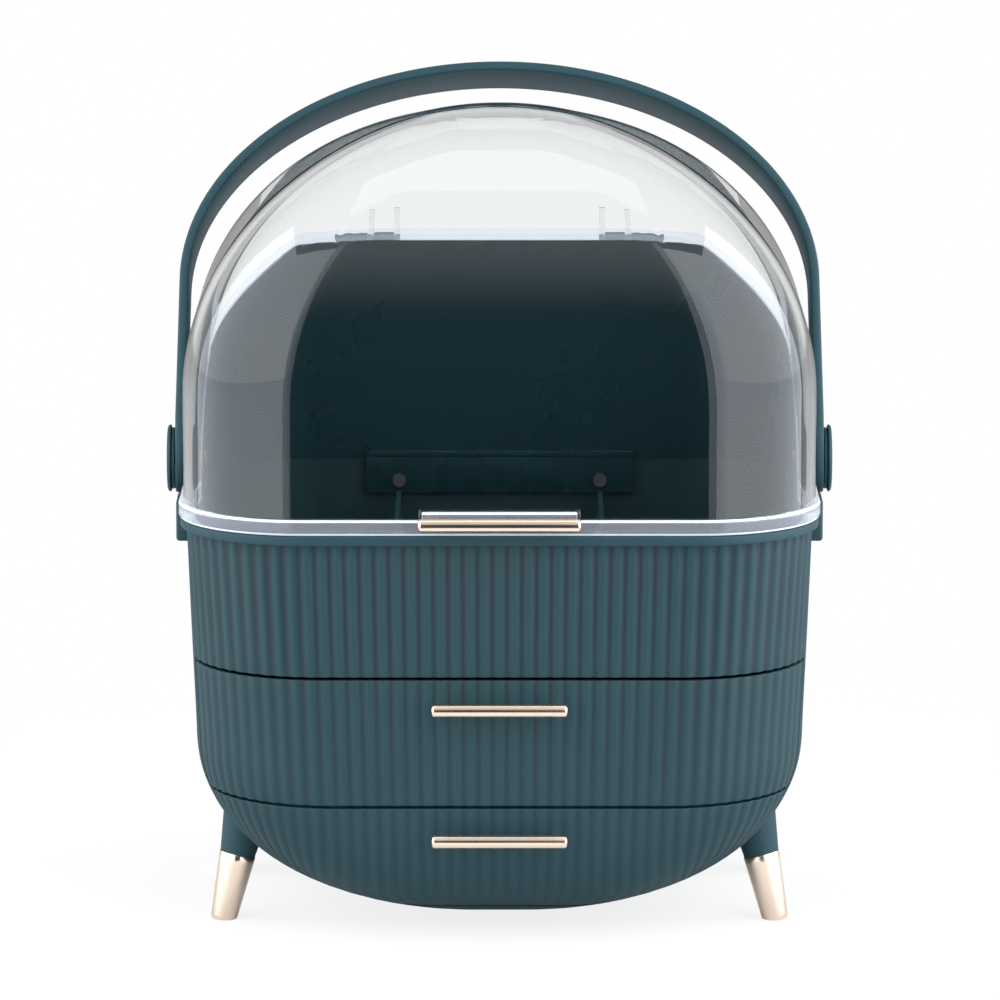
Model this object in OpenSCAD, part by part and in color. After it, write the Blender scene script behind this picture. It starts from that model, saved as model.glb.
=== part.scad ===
/* [Bowl body] */
// Width of the bowl at its fullest height
bowl_w = 261; // [230:1:290]
// Depth of the bowl at its fullest height
bowl_d = 202; // [180:1:230]
// Width at the rim of the top compartment
rim_w = 268; // [240:1:300]
// Depth at the rim of the top compartment
rim_d = 205; // [185:1:235]
// Height of the rim of the top compartment above the floor
rim_z = 177.8; // [165:0.1:195]
// Height of the fullest part of the bowl
belly_z = 84; // [75:1:95]
// Height of the underside of the bowl above the floor
base_z = 3.8; // [2:0.1:10]
// Corner radius in plan at the fullest height
corner_r = 58; // [45:1:65]
// Corner radius in plan at the rim
rim_corner_r = 52; // [40:1:60]
// Roundness of the bowl seen from the front, where 2 is an ellipse
side_curve = 2.12; // [1.9:0.01:2.6]
// Roundness of the bowl seen from the side, where 2 is an ellipse
front_curve = 3.8; // [3:0.1:4.5]
// Wall of the moulded shells
wall = 2.6; // [2:0.1:3.2]
// Height of the plain band under the rim
band_h = 3.8; // [2.5:0.1:6]
// How far the band stands out
band_out = 2.6; // [1.5:0.1:2.8]

/* [Drawers] */
// Height of the line between the top compartment and the upper drawer
upper_split_z = 116.3; // [108:0.1:124]
// Height of the line between the two drawers
lower_split_z = 60.7; // [56:0.1:68]
// Height of the lower edge of the lower drawer front
pan_z = 12; // [10:0.1:15]
// Open line between neighbouring fronts
line_gap = 1.2; // [0.8:0.1:2]
// How far in front of the middle the drawer fronts end
front_end_y = 58; // [54:0.5:66]
// Clear height between the upper tray and the floor above it
tray_headroom = 18; // [15:0.5:24]
// Wall of the drawer trays
tray_wall = 2; // [1.6:0.1:2.6]
// Space between a tray and the bowl outside it
tray_inset = 6.5; // [5.5:0.1:9]
// Height of the floor of the lower tray
low_tray_z = 22; // [19:0.5:26]
// Length that each drawer pulls out
drawer_travel = 120; // [80:1:140]

/* [Pulls] */
// Length of a drawer pull
pull_l = 57.5; // [45:0.5:70]
// Length of the pull on the hood
hood_pull_l = 68.4; // [55:0.1:80]
// Height of a pull bar
pull_h = 5.8; // [4.5:0.1:7]
// Edge radius at the ends of a pull bar
end_r = 1.2; // [0.4:0.1:2]
// Clear gap behind a pull bar
pull_gap = 5.2; // [4.6:0.1:9]
// Height of the upper drawer pull
upper_pull_z = 104.4; // [96:0.1:108]
// Height of the lower drawer pull
lower_pull_z = 47.6; // [42:0.1:52]

/* [Hood and back shell] */
// Height of the top of the hood
hood_top_z = 348; // [330:1:370]
// Height from which the hood curves in
hood_spring_z = 231; // [220:1:245]
// Roundness of the hood seen from the side, where 2 is an ellipse
hood_curve = 2.4; // [2:0.1:3]
// Wall of the hood and of the back shell
hood_wall = 3; // [2.4:0.1:3.6]
// How far the hood stands outside the rim at each side
hood_out = 1.2; // [0.8:0.1:1.6]
// Height of the flange round the hood's lower edge
flange_h = 6.5; // [5:0.1:9]
// How far the flange stands out
flange_out = 2; // [1.4:0.1:2.6]
// Width of the raised tab behind the hood's pull
tab_w = 64.6; // [58:0.2:80]
// Height of the raised tab, from the foot of the hood
tab_h = 10; // [8.5:0.1:14]
// Height of the back shell's top edge and of the hood's hinge
hinge_z = 277; // [265:1:285]
// How far in front of the middle the hood ends at the sides
hood_end_y = 8; // [6:0.5:12]
// Radius of a hinge knuckle
knuckle_r = 3.5; // [3:0.1:4]
// Diameter of a hinge pin
hinge_pin_d = 3; // [2.4:0.1:3.4]
// Distance from the middle to the inner end of a hinge
hinge_in = 44.4; // [38:0.2:50]

/* [Handle] */
// Width of the handle strap
strap_w = 30; // [24:1:34]
// Thickness of the handle strap
strap_t = 4; // [3:0.1:4.6]
// Height of the handle pivot above the rim
pivot_up = 14.2; // [12:0.1:20]
// How far behind the middle the handle pivot lies
pivot_y = 12; // [9:0.5:16]
// Length of the handle from its pivot to the top of the arch
handle_reach = 176; // [174:0.5:190]
// Rise of the round part of the arch
arch_rise = 100; // [85:0.5:110]
// Angle that the handle leans back at rest
handle_lean = 23; // [15:1:28]
// Diameter of the pivot pin
pivot_d = 8; // [6:0.5:10]
// Diameter of the round cap over the pivot
cap_d = 29.2; // [24:0.2:31]

/* [Legs] */
// Height at which the leg axis meets the bowl
leg_seat_z = 38.5; // [34:0.5:42]
// Distance of the leg seats in front of and behind the middle
leg_y = 42.8; // [38:0.2:44]
// How far the axis of a leg stands outside the body at its seat
leg_out = 0.7; // [0:0.1:2]
// Angle that the legs splay to the sides
leg_splay = 12.3; // [6:0.1:14]
// Angle that the legs rake to the front and back
leg_rake = 5; // [0:1:8]
// Length of the metal ferrule
ferrule_l = 28.8; // [22:0.2:32]
// Diameter of the foot of the ferrule
ferrule_foot_d = 11.3; // [8:0.1:13]
// Diameter of the top of the ferrule
ferrule_top_d = 15.8; // [12:0.1:17]
// Diameter of the leg where it meets the bowl
leg_top_d = 22.4; // [19:0.2:26]

/* [Partition] */
// Height of the partition in the top compartment
partition_h = 44; // [30:1:50]
// Distance from the middle to each cross wall
partition_x = 45; // [30:1:60]
// Place of the long wall behind the middle
partition_y = 15; // [5:1:30]

/* [Hidden] */

$fn = 48;
body_green = [0.11, 0.24, 0.25];
clear_tint = [0.86, 0.92, 0.95, 0.35];
gold = [0.85, 0.70, 0.52];
steel = [0.6, 0.6, 0.62];

// Clearances: round pins, flat seats, moving faces, and the cut that clears a joint
fit = 0.05;
seat = 0.2;
gap = 0.4;
eps = 0.01;

// Steps round a corner in plan, round a part corner, and up the bowl
corner_steps = 8;
part_steps = 3;
level_step = 7;
corner_fade = 0.59;
far = 400;

screw_r = 1.5;
screw_head_r = 3;
screw_head_h = 1.6;
tub_screw_l = 10;
low_head_step = 1.6;
back_screw_l = 4.6;
leg_screw_l = 11;
tub_floor = 2.6;
shelf_t = 2.4;
shelf_gap = 0.3;
base_cut = 0.7;
tab_out = 0.2;
runner_w = 3;

half_gap = line_gap / 2;
tub_z = upper_split_z + half_gap;
upper_front_z = [lower_split_z + half_gap, upper_split_z - half_gap];
lower_front_z = [pan_z + gap, lower_split_z - half_gap];
shelf_top_z = lower_split_z - 0.1;
upper_tray_z = [shelf_top_z + shelf_gap, upper_split_z - tray_headroom];
lower_tray_z = [low_tray_z, shelf_top_z - shelf_t - 3];
tub_floor_z = tub_z + tub_floor;

hood_hw = rim_w / 2 + hood_out;
hood_hd = rim_d / 2 - 0.5;
hood_r = rim_corner_r;
hood_z = rim_z + gap;
pull_y_gap = pull_gap + pull_h * 0.43;

pivot_z = rim_z + pivot_up;
ear_t = 1.4;
ear_x = hood_hw + 0.2;
ear_r = strap_w / 2 + 0.5;
ear_depth = 20;
ear_root = 3.4;
arch_step = 1.2;
arm_in = ear_x + ear_t + seat;
arm_out = arm_in + strap_t;
disc_t = 1.3;
groove_t = 0.4;
cap_t = 1.9;
cap_x = arm_out + seat + disc_t + groove_t;
pivot_inner_x = hood_hw - hood_wall - 1.5;

// Curve from 1 at t = 0 to 0 at t = 1, an ellipse where n is 2
function bulge(t, n) = pow(1 - pow(min(max(t, 0), 0.9999), n), 1 / n);

// Half width, half depth and corner radius of the body at height z, moved in by g
function low_t(z, g) = (belly_z - z) / (belly_z - base_z - g);
function up_t(z) = (z - belly_z) / (rim_z - belly_z);
function body_hw(z, g = 0) = z < belly_z ? (bowl_w / 2 - g) * bulge(low_t(z, g), side_curve)
    : bowl_w / 2 - g + (rim_w - bowl_w) / 2 * up_t(z);
function body_hd(z, g = 0) = z < belly_z ? (bowl_d / 2 - g) * bulge(low_t(z, g), front_curve)
    : bowl_d / 2 - g + (rim_d - bowl_d) / 2 * up_t(z);
function free_r(z, g) = z < belly_z ? (corner_r - g) * pow(bulge(low_t(z, g), side_curve), corner_fade)
    : corner_r - g + (rim_corner_r - corner_r) * up_t(z);
function body_r(z, g = 0) = min(free_r(z, g), 0.98 * body_hw(z, g), 0.98 * body_hd(z, g));

// Heights between two limits, closer together where the bowl turns under
function turn_of(z) = z < belly_z ? acos((belly_z - z) / (belly_z - base_z)) : 90 + (z - belly_z) / 2;
function height_of(turn) = turn < 90 ? belly_z - (belly_z - base_z) * cos(turn) : belly_z + 2 * (turn - 90);
function levels(z0, z1) = let (a = turn_of(z0), b = turn_of(z1), n = ceil((b - a) / level_step))
    [for (i = [0:n]) i == 0 ? z0 : i == n ? z1 : height_of(a + (b - a) * i / n)];
function rev(v) = [for (i = [len(v) - 1:-1:0]) v[i]];

// Points of an arc, of a whole rounded outline, and of its front and rear parts
function arc(cx, cy, r, a0, a1, n) = [for (i = [0:n]) let (a = a0 + (a1 - a0) * i / n)
    [cx + r * cos(a), cy + r * sin(a)]];
function outline(hw, front, back, r) = concat(
    arc(hw - r, back - r, r, 0, 90, corner_steps), arc(r - hw, back - r, r, 90, 180, corner_steps),
    arc(r - hw, r - front, r, 180, 270, corner_steps), arc(hw - r, r - front, r, 270, 360, corner_steps));
function cut_angle(hd, r, cut) = asin(max(0, min(0.98, (cut - hd + r) / r)));
function front_path(hw, hd, r, cut) = let (a = cut_angle(hd, r, cut)) concat(
    arc(r - hw, r - hd, r, 180 + a, 270, corner_steps), arc(hw - r, r - hd, r, 270, 360 - a, corner_steps));
function rear_path(hw, hd, r, cut) = let (a = cut_angle(hd, r, cut)) concat(
    arc(hw - r, r - hd, r, 360 - a, 360, part_steps), arc(hw - r, hd - r, r, 0, 90, corner_steps),
    arc(r - hw, hd - r, r, 90, 180, corner_steps), arc(r - hw, r - hd, r, 180, 180 + a, part_steps));
function at_z(path, z) = [for (p = path) [p[0], p[1], z]];
function body_loop(z, g = 0) = at_z(outline(body_hw(z, g), body_hd(z, g), body_hd(z, g), body_r(z, g)), z);
function front_loop(z) = at_z(concat(
    front_path(body_hw(z), body_hd(z), body_r(z), front_end_y),
    rev(front_path(body_hw(z, wall), body_hd(z, wall), body_r(z, wall), front_end_y))), z);
function rear_loop(z, g0, g1, cut) = at_z(concat(
    rear_path(body_hw(z, g0), body_hd(z, g0), body_r(z, g0), cut),
    rev(rear_path(body_hw(z, g1), body_hd(z, g1), body_r(z, g1), cut))), z);

// Solid through a stack of closed loops: with flat ends, with the ends of an open strip, or closed as a ring
module skin(rows, ring = false, strip = false) {
    n = len(rows[0]);
    m = len(rows);
    sides = [for (j = [0:(ring ? m - 1 : m - 2)]) for (i = [0:n - 1])
        let (k = (j + 1) % m, h = (i + 1) % n)
        each [[j * n + i, k * n + i, k * n + h], [j * n + i, k * n + h, j * n + h]]];
    low = strip ? [for (i = [0:n / 2 - 2]) [i, i + 1, n - 2 - i, n - 1 - i]] : [[for (i = [0:n - 1]) i]];
    ends = ring ? [] : concat(low, [for (f = low) [for (i = rev(f)) (m - 1) * n + i]]);
    polyhedron([for (r = rows) each r], concat(sides, ends), convexity = 6);
}

// Open cup between two heights: outside up, then inside down to its floor
module cup(z0, z1, g0, g1, floor_z) {
    skin(concat([for (z = levels(z0, z1)) body_loop(z, g0)],
        rev([for (z = levels(floor_z, z1)) body_loop(z, g1)])));
}

module both_sides() {
    children();
    mirror([1, 0, 0]) children();
}

// Cylinder along X from x0 to x1
module rod_x(x0, x1, r) {
    translate([x0, 0, 0]) rotate([0, 90, 0]) cylinder(r = r, h = x1 - x0);
}

// Prism along X from an outline whose points are [y, z]
module prism_x(x0, x1, points) {
    translate([x0, 0, 0]) rotate([90, 0, 90]) linear_extrude(x1 - x0) polygon(points);
}

// Screw along +Z with its head on top of z = 0
module screw(length) {
    translate([0, 0, -length]) cylinder(r = screw_r, h = length);
    cylinder(r = screw_head_r, h = screw_head_h);
}

// Places of the four screws that hold the top compartment to the drawer cabinet
boss_r = 5.5;
boss_z = upper_tray_z[1] + 3;
boss_hd = body_hd(upper_split_z) - body_r(upper_split_z);
boss_hw = body_hw(upper_split_z) - body_r(upper_split_z);
boss_reach = (body_r(upper_split_z) - wall - 4) * sin(45);
boss_places = [for (s = [-1, 1]) each [[s * (boss_hw + boss_reach), boss_hd + boss_reach],
    [s * (body_hw(upper_split_z) - wall - 4), 8 - front_end_y]]];

module at_bosses() {
    for (p = boss_places) translate([p[0], p[1], 0]) children();
}

module tub_screws() {
    color(steel) at_bosses() translate([0, 0, tub_floor_z]) screw(tub_screw_l);
}

// Plate round each handle pivot, on a block that stands out under the arm
module pivot_ears() {
    block_top = pivot_z - strap_w / 2 - 2 * gap;
    both_sides() {
        difference() {
            prism_x(ear_x, ear_x + ear_t, concat(
                [[pivot_y - ear_r, block_top - 3], [pivot_y + ear_r, block_top - 3]],
                [for (a = [0:10:180]) [pivot_y + ear_r * cos(a), pivot_z + ear_r * sin(a)]]));
            translate([0, pivot_y, pivot_z]) rod_x(ear_x - 1, ear_x + ear_t + 1, pivot_d / 2 + fit);
        }
        translate([ear_x - ear_root, pivot_y - ear_r - gap, rim_z - ear_depth])
            cube([arm_out - gap - ear_x + ear_root, 2 * (ear_r + gap), block_top - rim_z + ear_depth]);
    }
}

// Top compartment: a ribbed cup with a plain band under its rim and an ear at each side
module base_tub() {
    color(body_green) difference() {
        union() {
            skin(concat([for (z = levels(tub_z, rim_z - band_h)) body_loop(z)],
                [for (z = [rim_z - band_h, rim_z]) body_loop(z, -band_out)],
                rev([for (z = levels(tub_floor_z, rim_z)) body_loop(z, wall)])));
            pivot_ears();
        }
        at_bosses() cylinder(r = screw_r + 0.2, h = far);
        back_screw_places() translate([0, 0, -4.8]) cylinder(r = screw_r + fit, h = 8);
    }
}

// Sides and back round the drawers, open at the front
module cabinet_shell() {
    cut = front_end_y - 0.8;
    color(body_green) difference() {
        union() {
            skin([for (z = levels(pan_z, tub_z)) rear_loop(z, 0, wall, cut)], strip = true);
            ledge_z = shelf_top_z - shelf_t;
            skin([for (z = [ledge_z - 3, ledge_z]) rear_loop(z, wall / 2, wall + 3, cut - 2)], strip = true);
            intersection() {
                at_bosses() translate([0, 0, boss_z]) cylinder(r = boss_r, h = tub_z - boss_z);
                skin([for (z = [boss_z - 1, tub_z + 1]) body_loop(z, wall / 2)]);
            }
        }
        at_bosses() translate([0, 0, boss_z + 1]) cylinder(r = screw_r + fit, h = far);
        leg_screw_places() translate([0, 0, -2]) cylinder(r = screw_r + 0.2, h = 12);
        leg_screw_places() translate([0, 0, leg_head_seat]) cylinder(r = screw_head_r + 0.3, h = 6);
    }
}

// Shelf that the upper drawer slides on
module divider_shelf() {
    z = shelf_top_z - shelf_t;
    g = wall + 0.3;
    shelf = outline(body_hw(z, g), body_hd(z, g) - 0.5, body_hd(z, g), body_r(z, g));
    color(body_green) translate([0, 0, z]) linear_extrude(shelf_t) polygon(shelf);
}

// Underside of the bowl, with the two ribs that the lower drawer slides on
module bottom_pan() {
    rib_y = 0.6 * body_hd(pan_z);
    color(body_green) union() {
        cup(base_z + base_cut, pan_z, 0, wall, base_z + base_cut + wall);
        for (s = [-1, 1]) translate([s * 0.6 * body_hw(pan_z) - runner_w / 2, -rib_y, base_z + wall])
            cube([runner_w, 2 * rib_y, low_tray_z - seat - base_z - wall]);
    }
}

// Half width, half depth and corner radius of the hood, moved in by g
function hood_t(z, g) = (z - hood_spring_z) / (hood_top_z - hood_spring_z - g);
function dome_hw(z, g = 0) = (hood_hw - g) * bulge(hood_t(z, g), 2);
function dome_hd(z, g = 0) = (hood_hd - g) * bulge(hood_t(z, g), hood_curve);
function dome_r(z, g = 0) = min((hood_r - g) * pow(bulge(hood_t(z, g), 2), 0.3),
    0.98 * dome_hw(z, g), 0.98 * dome_hd(z, g));
function dome_loop(z, g = 0) = at_z(outline(dome_hw(z, g), dome_hd(z, g), dome_hd(z, g), dome_r(z, g)), z);
function dome_levels(z0, g) = concat([z0, hood_spring_z - 10], [for (a = [8:9:80])
    hood_spring_z + (hood_top_z - hood_spring_z - g) * sin(a)],
    [hood_spring_z + (hood_top_z - hood_spring_z - g) * sin(86)]);

// Line where the hood meets the back shell, seen from the side, as points [y, z]
hinge_y = dome_hd(hinge_z) + knuckle_r + 0.7;
part_h = [48, 54];
part_from = [dome_hd(hinge_z) - hood_wall - 1, hinge_z];
part_mid = [[0.85 * dome_hd(hinge_z), rim_z + part_h[0]], [-hood_end_y, rim_z + part_h[1]]];
part_to = [-hood_end_y, rim_z];
parting = [for (i = [0:12]) let (t = i / 12, s = 1 - t)
    s * s * s * part_from + 3 * s * s * t * part_mid[0] + 3 * s * t * t * part_mid[1] + t * t * t * part_to];
behind = concat(parting, [[-hood_end_y, rim_z - 20], [far, rim_z - 20], [far, hinge_z]]);

lug_t = 2.4;
lug_gap = 0.3;
lug_places = [hinge_in, hinge_in + 12];
knuckle_places = [[hinge_in + lug_t + lug_gap, hinge_in + 12 - lug_gap],
    [hinge_in + 12 + lug_t + lug_gap, hinge_in + 30.2]];
skirt_x = 60;
skirt_h = 16;
skirt_t = 2.4;
web_h = 7;
shell_levels = [rim_z, hood_spring_z - 10, hood_spring_z, hood_spring_z + 15, hood_spring_z + 31, hinge_z + 1];
back_screw_x = 45;
back_screw_down = 10;
back_screw_z = rim_z - back_screw_down;

// Screws along -Y that hold the back shell's skirt to the rear wall of the top compartment
module back_screw_places() {
    for (s = [-1, 1]) translate([s * back_screw_x, skirt_y - skirt_t, back_screw_z]) rotate([90, 0, 0]) children();
}
skirt_y = body_hd(rim_z - skirt_h, wall) - seat;

module back_shell_screws() {
    color(steel) back_screw_places() screw(back_screw_l);
}

// Rear half of the upper body, up to the hinge
module back_shell() {
    color(body_green) difference() {
        union() {
            intersection() {
                skin(concat([for (z = shell_levels) dome_loop(z)],
                    rev([for (z = shell_levels) dome_loop(z, hood_wall)])), ring = true);
                prism_x(-far, far, behind);
            }
            both_sides() for (k = knuckle_places) {
                translate([0, hinge_y, hinge_z]) rod_x(k[0], k[1], knuckle_r);
                translate([k[0], part_from[0] + 2, hinge_z - web_h])
                    cube([k[1] - k[0], hinge_y - part_from[0] - 2, web_h]);
            }
            translate([-skirt_x, skirt_y - skirt_t, rim_z - skirt_h]) cube([2 * skirt_x, skirt_t, skirt_h + 1]);
            translate([-skirt_x, skirt_y - skirt_t, rim_z])
                cube([2 * skirt_x, hood_hd - hood_wall / 2 - skirt_y + skirt_t, hood_wall]);
        }
        both_sides() translate([0, hinge_y, hinge_z]) rod_x(hinge_in, hinge_in + 31, hinge_pin_d / 2 + fit);
        both_sides() translate([0, pivot_y, pivot_z]) rod_x(100, 150, pivot_d / 2 + fit);
        back_screw_places() translate([0, 0, -10]) cylinder(r = screw_r + 0.2, h = 20);
    }
}

// Clear hood with its flange, the raised tab behind its pull, side gussets, hinge lugs and the fins above them
module hood() {
    foot = rim_z + gap;
    color(clear_tint) difference() {
        union() {
            difference() {
                skin(concat(rev([for (z = dome_levels(foot, hood_wall)) dome_loop(z, hood_wall)]),
                    [for (z = [foot, foot + flange_h]) dome_loop(z, -flange_out)],
                    [for (z = dome_levels(foot + flange_h, 0)) dome_loop(z)]));
                translate([0, -gap, gap]) prism_x(-far, far, behind);
            }
            both_sides() translate([0, -hood_end_y - 1.5 * gap, 0]) rotate([90, 0, 0]) linear_extrude(2.6)
                polygon([[hood_hw - 1, foot], [hood_hw + 4.3, foot], [hood_hw + 4.3, foot + flange_h],
                    [hood_hw, foot + 28], [hood_hw - 1, foot + 28]]);
            translate([-tab_w / 2, hood_face_y, foot + 1]) cube([tab_w, flange_out + tab_out + 1, tab_h - 1]);
            both_sides() for (x = lug_places) {
                translate([0, hinge_y, hinge_z]) rod_x(x, x + lug_t, knuckle_r);
                prism_x(x, x + lug_t, [[dome_hd(hinge_z) - 1, hinge_z + gap + 0.2], [hinge_y, hinge_z],
                    [hinge_y + knuckle_r - 0.6, hinge_z], [dome_hd(hinge_z + 16) + 1.5, hinge_z + 16],
                    [dome_hd(hinge_z + 16) - 1, hinge_z + 16]]);
            }
        }
        both_sides() translate([0, hinge_y, hinge_z]) rod_x(hinge_in - 1, hinge_in + 31, hinge_pin_d / 2 + fit);
        hood_pull_screw_places() translate([0, 0, -8]) cylinder(r = screw_r + fit, h = 16);
    }
}

module hinge_pin() {
    translate([0, hinge_y, hinge_z]) rod_x(hinge_in, hinge_in + 30, hinge_pin_d / 2);
}

// Gold bar with soft ends on two posts, facing -Y from the face at y = 0
module pull_bar(length) {
    bar_r = pull_h / 2;
    round_end = [for (a = [0:15:90]) [bar_r - end_r + end_r * cos(a), length / 2 - end_r + end_r * sin(a)]];
    translate([0, -pull_gap - bar_r, 0]) rotate([0, 90, 0]) rotate_extrude()
        polygon(concat([[0, length / 2], [0, -length / 2]], [for (p = rev(round_end)) [p[0], -p[1]]], round_end));
    for (s = [-1, 1]) translate([s * post_x(length), 0, 0]) rotate([90, 0, 0]) difference() {
        translate([0, 0, seat]) cylinder(r = 2.4, h = pull_gap + bar_r);
        cylinder(r = screw_r + fit, h = 4.5);
    }
}
function post_x(length) = length / 2 - 6;

// Face of the body, or of the hood, that a pull stands on
upper_face_y = -body_hd(upper_pull_z);
lower_face_y = -body_hd(lower_pull_z);
hood_pull_z = rim_z + gap + flange_h - 0.6;
hood_face_y = -hood_hd - flange_out - tab_out;

module upper_pull() {
    color(gold) translate([0, upper_face_y, upper_pull_z]) pull_bar(pull_l);
}

module lower_pull() {
    color(gold) translate([0, lower_face_y, lower_pull_z]) pull_bar(pull_l);
}

module hood_pull() {
    color(gold) translate([0, hood_face_y, hood_pull_z]) pull_bar(hood_pull_l);
}

// Screw axes of a pull: +Z of each child points into the object, from its inner face
module pull_screw_places(length, face_y, z, inside) {
    for (s = [-1, 1]) translate([s * post_x(length), face_y + inside, z]) rotate([-90, 0, 0]) children();
}

module hood_pull_screw_places() {
    pull_screw_places(hood_pull_l, hood_face_y, hood_pull_z, tab_out + flange_out + hood_wall) children();
}

module upper_pull_screws() {
    inside = wall + 0.4;
    color(steel) pull_screw_places(pull_l, upper_face_y, upper_pull_z, inside) screw(inside + 3);
}

module lower_pull_screws() {
    inside = wall + tray_wall + low_head_step;
    color(steel) pull_screw_places(pull_l, lower_face_y, lower_pull_z, inside) screw(inside + 2.5);
}

module hood_pull_screws() {
    color(steel) hood_pull_screw_places() screw(hood_wall + flange_out + tab_out + 3);
}

module upper_drawer_front() {
    color(body_green) difference() {
        skin([for (z = levels(upper_front_z[0], upper_front_z[1])) front_loop(z)], strip = true);
        pull_screw_places(pull_l, upper_face_y, upper_pull_z, 0) translate([0, 0, -8])
            cylinder(r = screw_r + 0.2, h = 16);
    }
}

module lower_drawer_front() {
    color(body_green) difference() {
        skin([for (z = levels(lower_front_z[0], lower_front_z[1])) front_loop(z)], strip = true);
        pull_screw_places(pull_l, lower_face_y, lower_pull_z, 0) translate([0, 0, -8])
            cylinder(r = screw_r + 0.2, h = 16);
    }
}

// Straight-sided tray behind the upper front
module upper_drawer_tray() {
    z = upper_tray_z[0];
    hw = body_hw(z, tray_inset);
    front = body_hd(z, wall) - seat;
    back = body_hd(z, wall) - 6;
    r = body_r(z, wall) - 2.5;
    color(body_green) skin([
        at_z(outline(hw, front, back, r), z),
        at_z(outline(hw, front, back, r), upper_tray_z[1]),
        at_z(outline(hw - tray_wall, front - tray_wall, back - tray_wall, r - tray_wall), upper_tray_z[1]),
        at_z(outline(hw - tray_wall, front - tray_wall, back - tray_wall, r - tray_wall), z + tray_wall)]);
}

// Bowl-shaped tray behind the lower front
function low_tray_loop(z, g) = at_z(outline(body_hw(z, tray_inset + g), body_hd(z, wall + seat + g) - 0.2,
    body_hd(z, tray_inset + g), body_r(z, tray_inset + g)), z);
module lower_drawer_tray() {
    heights = levels(lower_tray_z[0], lower_tray_z[1]);
    inner = levels(lower_tray_z[0] + tray_wall, lower_tray_z[1]);
    color(body_green) difference() {
        skin(concat([for (z = heights) low_tray_loop(z, 0)],
            rev([for (z = inner) low_tray_loop(z, tray_wall)])));
        pull_screw_places(pull_l, lower_face_y, lower_pull_z, 0) translate([0, 0, -8])
            cylinder(r = screw_r + 0.2, h = 16);
    }
}

// Lift-out walls that divide the top compartment into six cells
module partition() {
    z = tub_floor_z;
    reach_x = body_hw(z, wall) - 6;
    reach_y = body_hd(z, wall) - 6;
    color(body_green) union() {
        translate([-reach_x, partition_y - 1, z]) cube([2 * reach_x, 2, partition_h]);
        both_sides() translate([partition_x - 1, -reach_y, z]) cube([2, 2 * reach_y, partition_h]);
    }
}

// Arched strap, made upright on its pivot and then leaned back
module carry_handle() {
    spring = handle_reach - arch_rise;
    top_hw = arm_out - arch_step;
    function arch(t) = concat([[arm_out - t, -far], [arm_out - t, ear_r + gap]],
        [for (a = [0:5:180]) [(top_hw - t) * cos(a), spring + (arch_rise - t) * sin(a)]],
        [[t - arm_out, ear_r + gap], [t - arm_out, -far]]);
    color(body_green) translate([0, pivot_y, pivot_z]) rotate([-handle_lean, 0, 0]) difference() {
        intersection() {
            rotate([90, 0, 0]) linear_extrude(2 * strap_w, center = true)
                polygon(concat(arch(0), rev(arch(strap_t))));
            union() {
                rod_x(-far, far, strap_w / 2);
                translate([-far, -strap_w / 2, 0]) cube([2 * far, strap_w, far]);
            }
        }
        rod_x(-far, far, pivot_d / 2 + fit);
    }
}

module pivot_pin() {
    color(steel) translate([0, pivot_y, pivot_z]) rod_x(pivot_inner_x, cap_x - groove_t, pivot_d / 2);
}

module pivot_disc() {
    color(body_green) translate([0, pivot_y, pivot_z]) difference() {
        rod_x(arm_out + seat, arm_out + seat + disc_t, cap_d / 2 - 1.2);
        rod_x(arm_out, arm_out + seat + disc_t + 1, pivot_d / 2 + fit);
    }
}

// Domed cap on a narrower hub, which leaves a dark groove round it
module pivot_cap() {
    hub_r = cap_d / 2 - 3;
    edge_r = 1.5;
    color(body_green) translate([cap_x - groove_t, pivot_y, pivot_z]) rotate([0, 90, 0]) rotate_extrude()
        polygon(concat([[0, 0], [hub_r, 0], [hub_r, groove_t], [cap_d / 2 - 0.4, groove_t]],
            [for (a = [0:15:90]) [cap_d / 2 - edge_r + edge_r * cos(a), groove_t + cap_t - edge_r + edge_r * sin(a)]],
            [[0, groove_t + cap_t]]));
}

// Legs: local +Z runs up the leg from the middle of its foot on the floor
leg_foot_x = body_hw(leg_seat_z) + leg_out + leg_seat_z * tan(leg_splay);
leg_foot_y = leg_y + leg_seat_z * tan(leg_rake);
module at_leg(sx, sy) {
    translate([sx * leg_foot_x, sy * leg_foot_y, 0]) rotate([sy * leg_rake, -sx * leg_splay, 0]) children();
}

// Screws through the shell wall into the leg tops: +Z points into the bowl, from its outer face
leg_slope = body_hw(leg_seat_z + 1) - body_hw(leg_seat_z - 1);
module leg_screw_places(xs = [-1, 1], ys = [-1, 1]) {
    for (sx = xs) for (sy = ys) translate([sx * body_hw(leg_seat_z), sy * leg_y, leg_seat_z])
        rotate([0, -sx * atan2(2, leg_slope), 0]) children();
}

leg_head_seat = wall - 0.8;
module leg_screws() {
    color(steel) leg_screw_places() translate([0, 0, leg_head_seat]) screw(leg_screw_l);
}

spigot_r = 4;
spigot_l = 10;
module leg(sx, sy) {
    leg_l = 34;
    color(body_green) difference() {
        union() {
            at_leg(sx, sy) translate([0, 0, ferrule_l]) cylinder(r1 = ferrule_top_d / 2 - 0.3,
                r2 = leg_top_d / 2 + 1, h = leg_l);
            at_leg(sx, sy) translate([0, 0, ferrule_l - spigot_l]) cylinder(r = spigot_r, h = spigot_l + 1);
        }
        skin([for (z = levels(pan_z, belly_z)) body_loop(z, -0.15)]);
        leg_screw_places([sx], [sy]) translate([0, 0, -9.5]) cylinder(r = screw_r + fit, h = 12);
    }
}

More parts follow.
